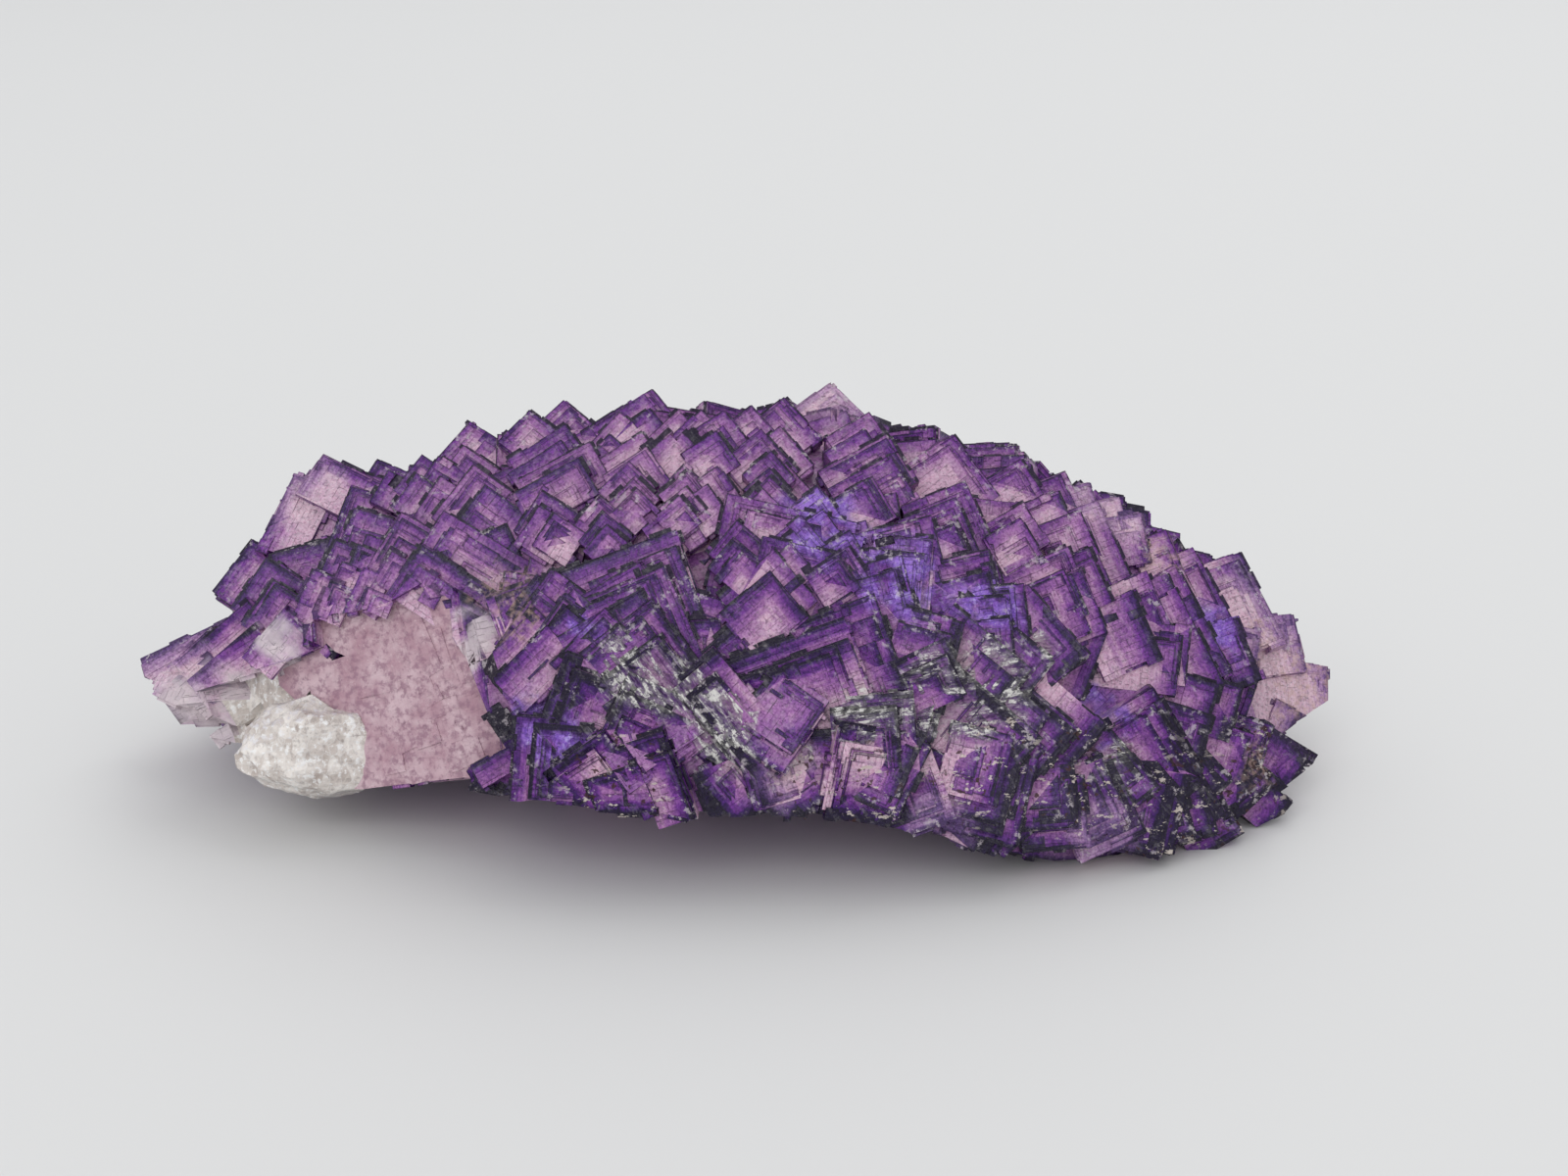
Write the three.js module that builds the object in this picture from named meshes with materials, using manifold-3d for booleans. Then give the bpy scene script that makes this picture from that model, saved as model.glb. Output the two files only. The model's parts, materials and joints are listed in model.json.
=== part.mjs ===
// A fluorite cluster: purple cubes that grew side by side and through each other, in stepped stacks
// that fan out from the lower middle, on a thick plate of their own massive fluorite.
// It grew as one piece, so it is one solid. Millimetres, +Z up, standing on worn feet of its
// underside at z = 0.
import * as THREE from "three";
import { mergeVertices } from "three/addons/utils/BufferGeometryUtils.js";
import Module from "manifold-3d";

const wasm = await Module();
wasm.setup();

// The crystal tips lie on this half-buried ellipsoid, and the massive fluorite fills most of it.
const HALF_LENGTH = 122;
const HALF_DEPTH = 70;
const HALF_HEIGHT = 80;
const CENTRE_Z = -5;
const MASSIVE_SHARE = 0.9;

// The stacks are laid out on charts that face the cluster from several sides. A chart is a plane
// that leans back: x runs along it to the right, h runs up it, and a point of it is carried to the
// ellipsoid along the line of sight from CHART_EYE in front of the plane. Around is the angle in
// degrees from the front to the side that the chart faces.
const FRONT = { around: 0, lean: 20 };
const BACK = { around: 180, lean: 48 };
const RIGHT_END = { around: 112, lean: 25 };
const LEFT_END = { around: -112, lean: 25 };
const CHART_EYE = 450;
const CHART_MIDDLE = [9.6, 33];

// A crystal's face turns this far from the line of sight towards the surface that it grows from,
// and then leans to the fan's middle, by LEAN_STEP at a time, until its far corner is buried.
const FACE_SHARE = 0.45;
const LEAST_LEAN = 0.12;
const LEAN_STEP = 0.04;
const MOST_LEAN = 0.6;
const BURIED_SHARE = 0.96;
const CRYSTAL_DEPTH = 20;

// Each crystal of a stack lies this far down and across from the last, in shares of the stack's run,
// and its edges are this share shorter.
const STEP_DOWN = [0.8, 1.2];
const STEP_ACROSS = [-0.7, 0.7];
const STEP_SHRINK = 0.1;
const LEAST_EDGE = 6;

// Flat facets closer than this to one plane are joined at the end.
const LEAST_DETAIL = 0.05;

const radians = THREE.MathUtils.degToRad;

// A small seeded random source, so that the cluster is the same every time.
function seeded(seed) {
  let state = seed;
  return (low, high) => {
    state = (Math.imul(state, 1664525) + 1013904223) >>> 0;
    return low + (state / 2 ** 32) * (high - low);
  };
}

// ---- Solids from three.js geometry ----

function bareMerged(geometry) {
  const bare = geometry.clone();
  bare.deleteAttribute("normal");
  bare.deleteAttribute("uv");
  return mergeVertices(bare, 1e-4);
}

function solidOf(geometry) {
  const merged = bareMerged(geometry);
  return new wasm.Manifold(
    new wasm.Mesh({
      numProp: 3,
      vertProperties: merged.attributes.position.array,
      triVerts: new Uint32Array(merged.index.array),
    }),
  );
}

function geometryOf(solid) {
  const mesh = solid.getMesh();
  const points = new Float32Array(mesh.numVert * 3);
  for (let i = 0; i < mesh.numVert; i++) {
    points.set(mesh.vertProperties.subarray(i * mesh.numProp, i * mesh.numProp + 3), i * 3);
  }
  const geometry = new THREE.BufferGeometry();
  geometry.setAttribute("position", new THREE.BufferAttribute(points, 3));
  geometry.setIndex(new THREE.BufferAttribute(new Uint32Array(mesh.triVerts), 1));
  return geometry;
}

// ---- The charts ----

function chartOf({ around, lean }) {
  const turned = new THREE.Matrix4().makeRotationZ(radians(around));
  const direction = (x, y, z) => new THREE.Vector3(x, y, z).applyMatrix4(turned);
  const angle = radians(lean);
  const right = direction(1, 0, 0);
  const up = direction(0, Math.sin(angle), Math.cos(angle));
  const towards = direction(0, -Math.cos(angle), Math.sin(angle));
  const eye = new THREE.Vector3(CHART_MIDDLE[0], 0, 0)
    .addScaledVector(up, CHART_MIDDLE[1])
    .addScaledVector(towards, CHART_EYE);
  return { right, up, towards, eye };
}

const front = chartOf(FRONT);
const RADII = new THREE.Vector3(HALF_LENGTH, HALF_DEPTH, HALF_HEIGHT);
const CENTRE = new THREE.Vector3(0, 0, CENTRE_Z);

// The point of the ellipsoid, sunk below it by sink, that a chart point is carried to. A line of
// sight that misses the ellipsoid gives its nearest point to it.
function onSurface(chart, x, h, sink = 0) {
  const { right, up, eye } = chart;
  const shrunk = RADII.clone().subScalar(sink);
  const aim = new THREE.Vector3().addScaledVector(right, x).addScaledVector(up, h);
  const ray = aim.clone().sub(eye);
  const o = eye.clone().sub(CENTRE).divide(shrunk);
  const d = ray.clone().divide(shrunk);
  const middle = -o.dot(d) / d.lengthSq();
  const inside = middle ** 2 - (o.lengthSq() - 1) / d.lengthSq();
  const reach = middle - Math.sqrt(Math.max(inside, 0));
  return eye.clone().addScaledVector(ray, reach);
}

function outwardAt(point) {
  return point.clone().sub(CENTRE).divide(RADII).divide(RADII).normalize();
}

// ---- Crystals ----

// The unit part of a direction that lies in the plane with this normal.
function flattened(direction, normal) {
  return direction.clone().addScaledVector(normal, -direction.dot(normal)).normalize();
}

// How far out a point lies, as a share of the ellipsoid's radius there.
function shareOut(point) {
  return point.clone().sub(CENTRE).divide(RADII).length();
}

// The frame of a crystal: u and v run down its two edges from the tip, w runs into the cluster.
// turn is the tip's direction on the chart in degrees, 0 up the chart and 90 to its right.
function crystalFrame(chart, tip, turn, lengths) {
  const { right, up, eye } = chart;
  const sight = eye.clone().sub(tip).normalize();
  const outward = outwardAt(tip);
  const heading = new THREE.Vector3()
    .addScaledVector(up, Math.cos(radians(turn)))
    .addScaledVector(right, Math.sin(radians(turn)));
  const uphill = heading
    .clone()
    .multiplyScalar(Math.max(sight.dot(outward), 0))
    .addScaledVector(sight, -heading.dot(outward))
    .normalize();
  const level = sight.clone().lerp(outward, FACE_SHARE);
  let frame;
  for (let lean = LEAST_LEAN; lean < MOST_LEAN; lean += LEAN_STEP) {
    const face = level.clone().addScaledVector(uphill, -lean).normalize();
    const along = flattened(heading, face);
    const across = new THREE.Vector3().crossVectors(along, face);
    const edge = (angle) =>
      along
        .clone()
        .multiplyScalar(-Math.cos(radians(angle)))
        .addScaledVector(across, Math.sin(radians(angle)));
    frame = { u: edge(-45), v: edge(45), w: face.negate() };
    const corner = tip.clone().addScaledVector(frame.u, lengths[0]).addScaledVector(frame.v, lengths[1]);
    if (shareOut(corner) < BURIED_SHARE) break;
  }
  return frame;
}

// A block of the given lengths along u, v and w, with one corner at the tip.
function block(tip, { u, v, w }, lengths) {
  const centre = tip
    .clone()
    .addScaledVector(u, lengths[0] / 2)
    .addScaledVector(v, lengths[1] / 2)
    .addScaledVector(w, lengths[2] / 2);
  const geometry = new THREE.BoxGeometry(lengths[1], lengths[0], lengths[2]);
  geometry.applyMatrix4(new THREE.Matrix4().makeBasis(v, u, w).setPosition(centre));
  return solidOf(geometry);
}

// Crystals that step down from the first one's tip, each in front of the last.
function stack(chart, random, sink, [x, h, turn, left, right, steps, run]) {
  const blocks = [];
  for (let k = 0; k < steps; k++) {
    const down = k * run * random(...STEP_DOWN);
    const across = k === 0 ? 0 : run * random(...STEP_ACROSS);
    const stepX = x - Math.sin(radians(turn)) * down + Math.cos(radians(turn)) * across;
    const stepH = h - Math.cos(radians(turn)) * down - Math.sin(radians(turn)) * across;
    const tip = onSurface(chart, stepX, stepH, sink);
    const lengths = [left, right].map((length) => Math.max(length * (1 - STEP_SHRINK * k), LEAST_EDGE));
    const frame = crystalFrame(chart, tip, turn, lengths);
    blocks.push(block(tip, frame, [...lengths, CRYSTAL_DEPTH]));
  }
  return blocks;
}

// The front's stacks by hand: x and h of the first tip, its turn, the lengths of the edges to its
// left and right, the number of crystals and the run from one tip to the next.
const FRONT_STACKS = [
  // left wing
  [-121.8, 18.6, -67, 13, 20, 1, 4],
  [-99.8, 30.4, 6, 19, 13, 2, 4],
  [-108, 24.4, 5, 11, 10, 2, 4],
  [-98.8, 43, -13, 13, 15, 3, 5],
  [-90.5, 56.4, -25, 17, 10, 2, 5],
  [-84.4, 60.4, -16, 10, 16, 2, 3],
  [-81.8, 57.6, -28, 30, 24, 4, 5],
  [-73.4, 59.4, -18, 8, 18, 2, 2.5],
  [-64.4, 60.4, -10, 9, 13, 2, 3],
  [-54.4, 67, -9, 16, 24, 4, 5],
  [-61, 60, -14, 12, 27, 3, 5],
  [-68.4, 48.6, -15, 17, 27, 2, 4],
  [-64.4, 42.4, -12, 12, 20, 2, 4],
  [-70.4, 40.6, -15, 14, 20, 2, 5],
  [-77.4, 42, -22, 16, 11, 3, 4],
  [-82, 43, -22, 16, 9, 2, 4],
  [-92.4, 29, -5, 12, 13, 1, 4],
  [-86.4, 37, -22, 13, 9, 2, 4],
  // crest
  [-35.4, 71.4, -3, 14, 12, 1, 4],
  [-42.4, 69.4, -5, 9, 9, 1, 4],
  [-17.4, 73.8, 8, 19, 10, 2, 4],
  [-35, 66.6, 10, 13, 8, 2, 3],
  [-30, 63, 15, 15, 9, 2, 4],
  [-19.4, 65, 10, 11, 9, 2, 3],
  [-7.4, 69.6, 0, 9, 9, 2, 4],
  [-2.4, 69.4, 10, 9, 9, 2, 4],
  [9.6, 72, 5, 16, 11, 2, 6],
  [19.2, 75, 4, 16, 20, 1, 4],
  [-24, 69, -5, 10, 10, 2, 4],
  [-12, 69.4, 0, 12, 10, 2, 4],
  [3, 70.4, 5, 11, 12, 2, 4],
  [27, 69, 12, 10, 12, 2, 4],
  [30.6, 64.4, 15, 15, 11, 3, 4],
  [44, 64.4, 10, 18, 15, 1, 4],
  [58, 59.4, 15, 9, 8, 1, 4],
  [67, 57, 22, 11, 11, 2, 4],
  [72, 54.6, 30, 7, 8, 1, 4],
  [78, 51.6, 32, 8, 8, 1, 4],
  [82.5, 48.4, 35, 8, 10, 1, 4],
  [87.6, 45, 25, 8, 9, 1, 4],
  [93, 41.4, 19, 11, 25, 3, 4],
  [102.6, 40.4, 24, 12, 20, 1, 4],
  [113.6, 27.6, 38, 14, 12, 1, 4],
  [120.6, 17, 51, 19, 13, 1, 4],
  [122, 4, 70, 14, 10, 1, 4],
  [118.6, -1, 75, 13, 9, 1, 4],
  [117, -11.4, 85, 12, 9, 2, 4],
  // right shoulder
  [73.6, 51, 24, 22, 18, 4, 4],
  [67.6, 41.6, 22, 18, 14, 2, 4],
  [72.6, 39.4, 22, 9, 9, 2, 4],
  [83.6, 36.6, 22, 13, 15, 2, 5],
  [88, 36, 24, 7, 15, 1, 4],
  [58.6, 50.6, 15, 9, 9, 2, 3],
  [46.6, 55, 22, 13, 24, 3, 4],
  [39.6, 48, 30, 14, 11, 2, 4],
  [51.6, 41, 32, 13, 11, 2, 4],
  [58.6, 34, 40, 11, 24, 3, 4],
  [72, 19.4, 95, 17, 9, 1, 4],
  [75.6, 5, 86, 36, 32, 4, 5],
  [65, 18, 85, 20, 11, 2, 4],
  [85.2, 12.6, 14, 11, 18, 2, 3],
  [92.6, 25, 52, 20, 11, 2, 3],
  [103.6, 13, 62, 22, 11, 3, 4],
  [102, 27.4, 25, 13, 13, 1, 4],
  [109.6, 5, 62, 19, 11, 2, 4],
  [109.6, -7, 92, 22, 11, 3, 4],
  [94.6, -7, 95, 18, 15, 3, 4],
  [92.6, -5, 58, 23, 15, 2, 4],
  [83.6, -17, 110, 15, 13, 2, 4],
  [103.6, -17, 105, 15, 11, 2, 4],
  // middle
  [28, 32, 25, 30, 42, 3, 6],
  [42.6, 23, 20, 10, 9, 2, 3],
  [46.6, 26, 60, 11, 22, 2, 4],
  [33.6, 40, 30, 9, 13, 2, 3],
  [40.6, 43, 50, 11, 13, 2, 4],
  [17, 53.6, 10, 11, 18, 2, 4],
  [-2, 52.4, -32, 24, 24, 3, 5],
  [7, 61, 5, 7, 7, 2, 3],
  [6.6, 56, 0, 7, 9, 2, 3],
  [-4, 58, 10, 16, 9, 2, 4],
  [7.6, 41, 5, 13, 12, 2, 5],
  [-12.4, 45, 25, 36, 22, 1, 4],
  [-12.4, 41.8, 22, 17, 36, 3, 5],
  [-19.4, 38.6, 15, 19, 20, 2, 5],
  [-38, 37, -10, 17, 11, 2, 5],
  [-41, 29, 0, 15, 9, 2, 3],
  [-33.4, 33, -5, 9, 11, 2, 4],
  [-27, 29, 0, 13, 13, 2, 4],
  [-5, 21, 5, 8, 24, 3, 3],
  [-22, 59, 0, 8, 7, 3, 3],
  [-10, 57, 5, 7, 8, 3, 3],
  [0, 47, -5, 8, 8, 3, 3],
  [13, 48, 5, 8, 9, 3, 3],
  [-28, 52, -5, 8, 8, 3, 3],
  [-40, 53, -12, 9, 9, 3, 3],
  [23, 45, 12, 9, 9, 3, 3],
  [-41, 36, -8, 9, 10, 2, 3],
  [-17.4, 31, 8, 16, 26, 3, 4],
  [-35, 20, -25, 20, 11, 2, 4],
  [-22, 16, -20, 12, 14, 2, 4],
  [-45, 7, -40, 15, 12, 2, 4],
  [-27, 4, 10, 12, 12, 2, 4],
  [-15, 4, 25, 13, 20, 3, 4],
  [21, 6, -35, 16, 13, 2, 4],
  [36, 12, 40, 13, 15, 2, 4],
  [9, -5, 170, 13, 12, 2, 4],
  [-22, -9, 190, 14, 12, 2, 4],
  [33, -14, 160, 14, 13, 2, 4],
  [57, -20, 150, 16, 14, 3, 4],
  [72, -20, 130, 13, 12, 2, 4],
  [98, -17, 120, 13, 12, 2, 4],
];

// ---- Crystals between the stacks and on the back ----

const ROW_SHARE = 0.8;
const SPOT_SWING = [-0.4, 0.4];
const LEAST_FACING = 0.2;

// Rows of stacks over a chart that point away from the fan's middle.
function cover(random, { face, rows, reach, spacing, middle, size, steps, run, sink, swing }) {
  const chart = chartOf(face);
  const blocks = [];
  for (let h = rows[0]; h < rows[1]; h += spacing * ROW_SHARE) {
    for (let x = -reach; x < reach; x += spacing) {
      const spotX = x + random(...SPOT_SWING) * spacing;
      const spotH = h + random(...SPOT_SWING) * spacing;
      const away = THREE.MathUtils.radToDeg(Math.atan2(spotX - middle[0], spotH - middle[1]));
      const turn = away + random(-swing, swing);
      const row = [spotX, spotH, turn, random(...size), random(...size), steps, run];
      const tip = onSurface(chart, spotX, spotH, sink);
      const facing = outwardAt(tip).dot(chart.towards);
      const met = shareOut(tip) < 1;
      if (met && tip.z > 0 && facing > LEAST_FACING) blocks.push(...stack(chart, random, sink, row));
    }
  }
  return blocks;
}

const COVERS = [
  {
    face: FRONT, rows: [-26, 74], reach: 122, spacing: 16, middle: [8, -8],
    size: [9, 15], steps: 1, run: 3.5, sink: 3, swing: 18,
  },
  {
    face: BACK, rows: [-62, 60], reach: 122, spacing: 28, middle: [-10, -40],
    size: [20, 30], steps: 2, run: 6, sink: 3, swing: 14,
  },
  {
    face: RIGHT_END, rows: [-30, 50], reach: 60, spacing: 25, middle: [0, -40],
    size: [16, 24], steps: 2, run: 5, sink: 5, swing: 14,
  },
  {
    face: LEFT_END, rows: [-30, 50], reach: 60, spacing: 25, middle: [0, -40],
    size: [16, 24], steps: 2, run: 5, sink: 5, swing: 14,
  },
];

// ---- The massive fluorite under the crystals, its broken faces and its underside ----

function massive() {
  const geometry = new THREE.IcosahedronGeometry(1, 3);
  geometry.scale(HALF_LENGTH * MASSIVE_SHARE, HALF_DEPTH * MASSIVE_SHARE, HALF_HEIGHT * MASSIVE_SHARE);
  geometry.translate(0, 0, CENTRE_Z);
  return solidOf(geometry);
}

// Heights of the broken underside along x, at the front edge and from the middle to the back.
const FRONT_EDGE = [
  [-124, 20], [-118, 16], [-106, 19], [-92, 23], [-86, 19], [-80, 15], [-72, 14], [-50, 18], [-38, 18],
  [-24, 18], [-12, 15.5], [0, 18], [18, 17], [27, 12.5], [44, 8.5], [62, 4.5], [81, 1], [99, -2], [124, 0],
];
const BACK_EDGE = [
  [-124, 22], [-100, 12], [-70, 7], [60, 7], [100, 8], [124, 16],
];
const FRONT_Y = -62;
const MIDDLE_Y = -12;

// The worn feet that it stands on.
const FEET = [
  { x: -58, y: 34, drop: 16, spread: 22 },
  { x: -28, y: -8, drop: 20, spread: 16 },
  { x: 80, y: -42, drop: 9, spread: 24 },
  { x: 76, y: 36, drop: 14, spread: 22 },
];
const UNDERSIDE_CELL = 13;
const UNDERSIDE_ROUGHNESS = 1.6;
const FLOOR_DEPTH = 100;

function heightAlong(points, x) {
  const i = Math.max(points.findIndex(([px]) => px >= x), 1);
  const [x0, z0] = points[i - 1];
  const [x1, z1] = points[i];
  return THREE.MathUtils.mapLinear(x, x0, x1, z0, z1);
}

function undersideHeight(x, y) {
  const share = THREE.MathUtils.smoothstep(y, FRONT_Y, MIDDLE_Y);
  const arch = THREE.MathUtils.lerp(heightAlong(FRONT_EDGE, x), heightAlong(BACK_EDGE, x), share);
  const drops = FEET.map((foot) => {
    const distance = Math.hypot(x - foot.x, y - foot.y);
    return foot.drop * Math.exp(-((distance / foot.spread) ** 2));
  });
  return arch - drops.reduce((sum, drop) => sum + drop);
}

// All that lies below the underside: a block whose top is a plane of cells moved to its height.
function belowUnderside(random) {
  const length = 2 * HALF_LENGTH + 4;
  const depth = 2 * HALF_DEPTH + 8;
  const cellsX = Math.round(length / UNDERSIDE_CELL);
  const cellsY = Math.round(depth / UNDERSIDE_CELL);
  const geometry = bareMerged(new THREE.BoxGeometry(length, depth, FLOOR_DEPTH, cellsX, cellsY, 1));
  const place = geometry.attributes.position;
  for (let i = 0; i < place.count; i++) {
    const height = undersideHeight(place.getX(i), place.getY(i)) + random(-1, 1) * UNDERSIDE_ROUGHNESS;
    place.setZ(i, place.getZ(i) > 0 ? Math.max(height, 0) : -FLOOR_DEPTH);
  }
  return solidOf(geometry);
}

// Where the left wing is broken. Each cleavage plane has its seat on the front chart, sunk below the
// tips, and its yaw and pitch from the chart's plane. Its patches are blocks of air that stand on it:
// across, up and out from the seat, then yaw, roll, width and height.
const BREAKS = [
  {
    x: -68, h: 6, sink: 11.2, yaw: -20, pitch: 3,
    patches: [
      [0, -2, 0, 0, 10, 27, 46], [-6, -2, 0, 0, 24, 32, 36], [6, 6, 0, 0, 32, 18, 34],
      [-13, -2, 0, 0, 38, 20, 26], [17, 14, 2.4, -28, 14, 10, 24],
    ],
  },
  {
    x: -88, h: 3, sink: 8.5, yaw: -38, pitch: 6,
    patches: [[0, -2, 0, 0, 28, 34, 24], [-9, 2, 0, 0, 20, 22, 18]],
  },
];
const BREAK_THICKNESS = 30;

function turnOf(yaw, pitch, roll) {
  const turns = new THREE.Euler(radians(pitch), radians(yaw), radians(roll));
  return new THREE.Matrix4().makeRotationFromEuler(turns);
}

function brokenOff({ x, h, sink, yaw, pitch, patches }) {
  const seat = new THREE.Matrix4()
    .makeBasis(front.right, front.up, front.towards)
    .setPosition(onSurface(front, x, h, sink))
    .multiply(turnOf(yaw, pitch, 0));
  return patches.map(([across, up, out, turn, roll, width, height]) => {
    const geometry = new THREE.BoxGeometry(width, height, BREAK_THICKNESS);
    geometry.translate(0, 0, BREAK_THICKNESS / 2);
    geometry.applyMatrix4(turnOf(turn, 0, roll).setPosition(across, up, out));
    geometry.applyMatrix4(seat);
    return solidOf(geometry);
  });
}

// Lumps with shell-like faces: the clear one at the break's lower left and the one under the tip.
const LUMPS = [
  { x: -87, h: 0, sink: 12, radii: [13, 8, 10] },
  { x: -104, h: 12.5, sink: 9, radii: [15, 9, 6] },
];
const LUMP_ROUGHNESS = 1.2;

function lump({ x, h, sink, radii }, random) {
  const geometry = bareMerged(new THREE.IcosahedronGeometry(1, 1));
  const place = geometry.attributes.position;
  for (let i = 0; i < place.count; i++) {
    const point = new THREE.Vector3().fromBufferAttribute(place, i).multiply(new THREE.Vector3(...radii));
    point.addScalar(random(-1, 1) * LUMP_ROUGHNESS);
    place.setXYZ(i, point.x, point.y, point.z);
  }
  geometry.translate(...onSurface(front, x, h, sink).toArray());
  return solidOf(geometry);
}

// ---- The cluster ----

const random = seeded(3);
const frontStacks = FRONT_STACKS.flatMap((row) => stack(front, random, 0, row));
const smallStacks = COVERS.flatMap((rows) => cover(random, rows));

const grown = wasm.Manifold.union([massive(), ...frontStacks, ...smallStacks]);
const broken = grown.subtract(wasm.Manifold.union(BREAKS.flatMap(brokenOff)));
const lumpy = wasm.Manifold.union([broken, ...LUMPS.map((row) => lump(row, random))]);
const whole = lumpy.subtract(belowUnderside(random)).asOriginal().simplify(LEAST_DETAIL);

// The outermost shell alone, which fills the gaps that the crystals shut in, stood on its middle.
const [outer] = whole.decompose().sort((a, b) => b.volume() - a.volume());
const { min, max } = outer.boundingBox();
const cluster = outer.translate([-(min[0] + max[0]) / 2, -(min[1] + max[1]) / 2, -min[2]]);

const mesh = new THREE.Mesh(
  geometryOf(cluster),
  new THREE.MeshStandardMaterial({ color: 0x6a4590, roughness: 0.35, metalness: 0 }),
);
mesh.name = "fluorite_cluster";

const group = new THREE.Group();
group.add(mesh);
export default group;
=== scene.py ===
# %% [markdown]
# # A fluorite cluster
# A specimen the length of a hand and a half: hundreds of violet cubes that grew side by side and
# through each other, in stepped stacks that fan out from the lower middle.
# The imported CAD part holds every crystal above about 6 mm as one closed solid. This script dresses a
# copy of it: thin growth layers, ragged edges, cleavage steps and a glassy lump are joined on as
# real shape, and one node material gives the colour zoning, the fine joints and the dusting.

import bpy
import bmesh
import cmath
import json
import math
import random
from collections import namedtuple
from mathutils import Matrix, Vector
from mathutils.bvhtree import BVHTree

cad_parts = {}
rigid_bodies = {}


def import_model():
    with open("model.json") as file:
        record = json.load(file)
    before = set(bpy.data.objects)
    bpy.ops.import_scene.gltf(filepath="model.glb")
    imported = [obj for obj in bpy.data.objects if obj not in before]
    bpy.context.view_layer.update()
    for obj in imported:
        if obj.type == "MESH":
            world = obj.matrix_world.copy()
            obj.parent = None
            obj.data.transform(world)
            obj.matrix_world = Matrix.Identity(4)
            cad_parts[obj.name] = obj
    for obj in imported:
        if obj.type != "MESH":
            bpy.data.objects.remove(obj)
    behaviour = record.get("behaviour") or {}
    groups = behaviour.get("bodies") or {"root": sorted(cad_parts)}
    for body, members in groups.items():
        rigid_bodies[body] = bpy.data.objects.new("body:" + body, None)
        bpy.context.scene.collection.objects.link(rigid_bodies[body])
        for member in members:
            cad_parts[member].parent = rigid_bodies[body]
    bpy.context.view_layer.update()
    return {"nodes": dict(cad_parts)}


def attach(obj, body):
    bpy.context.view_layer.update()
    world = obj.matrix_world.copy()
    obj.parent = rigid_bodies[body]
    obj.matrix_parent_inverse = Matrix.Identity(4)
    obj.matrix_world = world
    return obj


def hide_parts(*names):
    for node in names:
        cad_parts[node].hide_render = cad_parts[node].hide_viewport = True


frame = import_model()
MM = 0.001

# %% [markdown]
# ## The camera
# The cluster is looked at from the front, a little above it, and from so near that the far edge is
# visibly smaller. A real lens could be placed by eye in the viewport. Here the aim, the distance and
# the width of the picture at that distance are named, and the focal length follows from them.

# %% Camera
AIM = Vector((9.7, 8.0, 31.0)) * MM
VIEW_LIFT = math.radians(20)
VIEW_DISTANCE = 450 * MM
VIEW_WIDTH = 320 * MM
NEAREST_SEEN = 20 * MM

towards_viewer = Vector((0, -math.cos(VIEW_LIFT), math.sin(VIEW_LIFT)))
camera = bpy.data.objects.new("camera", bpy.data.cameras.new("camera"))
bpy.context.scene.collection.objects.link(camera)
bpy.context.scene.camera = camera
camera.location = AIM + VIEW_DISTANCE * towards_viewer
camera.rotation_mode = "QUATERNION"
camera.rotation_quaternion = (-towards_viewer).to_track_quat("-Z", "Y")
camera.data.lens = camera.data.sensor_width * VIEW_DISTANCE / VIEW_WIDTH
camera.data.clip_start = NEAREST_SEEN
print("lens in mm:", round(camera.data.lens, 1))

# %% [markdown]
# ## Floor and light
# A mineral is usually shown on a seamless pale sheet under a big soft box. A curved backdrop would
# need its own shape, while a very wide plane already fills the view, and a pale sky brightens it
# evenly. The soft box hangs behind and to the right, so the shadow falls to the front left.

# %% Floor
FLOOR_SIZE = 12.0

floor_mesh = bmesh.new()
bmesh.ops.create_grid(floor_mesh, x_segments=1, y_segments=1, size=FLOOR_SIZE / 2)
floor = bpy.data.objects.new("floor", bpy.data.meshes.new("floor"))
floor_mesh.to_mesh(floor.data)
floor_mesh.free()
bpy.context.scene.collection.objects.link(floor)
print("floor:", FLOOR_SIZE, "m across")

# %% Soft boxes
# name: place in metres, side in metres, power in watts
SOFT_BOXES = {
    "key": (Vector((0.9, 1.5, 2.6)), 2.4, 20.0),
    "fill": (Vector((-0.8, -1.9, 1.6)), 1.4, 14.0),
}


def soft_box(name, place, size, power):
    """A square light that faces the cluster."""
    light = bpy.data.lights.new(name, "AREA")
    light.shape = "SQUARE"
    light.size = size
    light.energy = power
    lamp = bpy.data.objects.new(name, light)
    lamp.location = place
    lamp.rotation_mode = "QUATERNION"
    lamp.rotation_quaternion = (AIM - lamp.location).to_track_quat("-Z", "Y")
    bpy.context.scene.collection.objects.link(lamp)


for name, (place, size, power) in SOFT_BOXES.items():
    soft_box(name, place, size, power)

# %% Pale sky
SKY_COLOUR = (0.93, 0.94, 0.96, 1)
SKY_STRENGTH = 0.98

world = bpy.data.worlds.new("studio")
world.use_nodes = True
sky = world.node_tree.nodes["Background"]
sky.inputs["Color"].default_value = SKY_COLOUR
sky.inputs["Strength"].default_value = SKY_STRENGTH
bpy.context.scene.world = world
bpy.context.scene.view_settings.view_transform = "Standard"
print("sky strength:", SKY_STRENGTH)

# %% [markdown]
# ## The crystal faces
# Every facet of the solid is part of one crystal's face. The layers, the colour zones and the joints
# all follow that face's edges, so each facet is measured first: its two edge directions, and how far
# out its edges lie. A copy of the CAD mesh is welded and its flat neighbours are joined for this.

# %% Copy, weld and join the facets
WELD = 0.001 * MM
FLAT_WITHIN = math.radians(0.6)

cad_mesh = frame["nodes"]["fluorite_cluster"].data


def welded_copy(data):
    """A bmesh of a node's loose triangles, welded, with flat neighbours joined into facets."""
    copy = bmesh.new()
    copy.from_mesh(data)
    bmesh.ops.remove_doubles(copy, verts=copy.verts, dist=WELD)
    bmesh.ops.dissolve_limit(copy, angle_limit=FLAT_WITHIN, verts=copy.verts, edges=copy.edges)
    copy.normal_update()
    return copy


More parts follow.
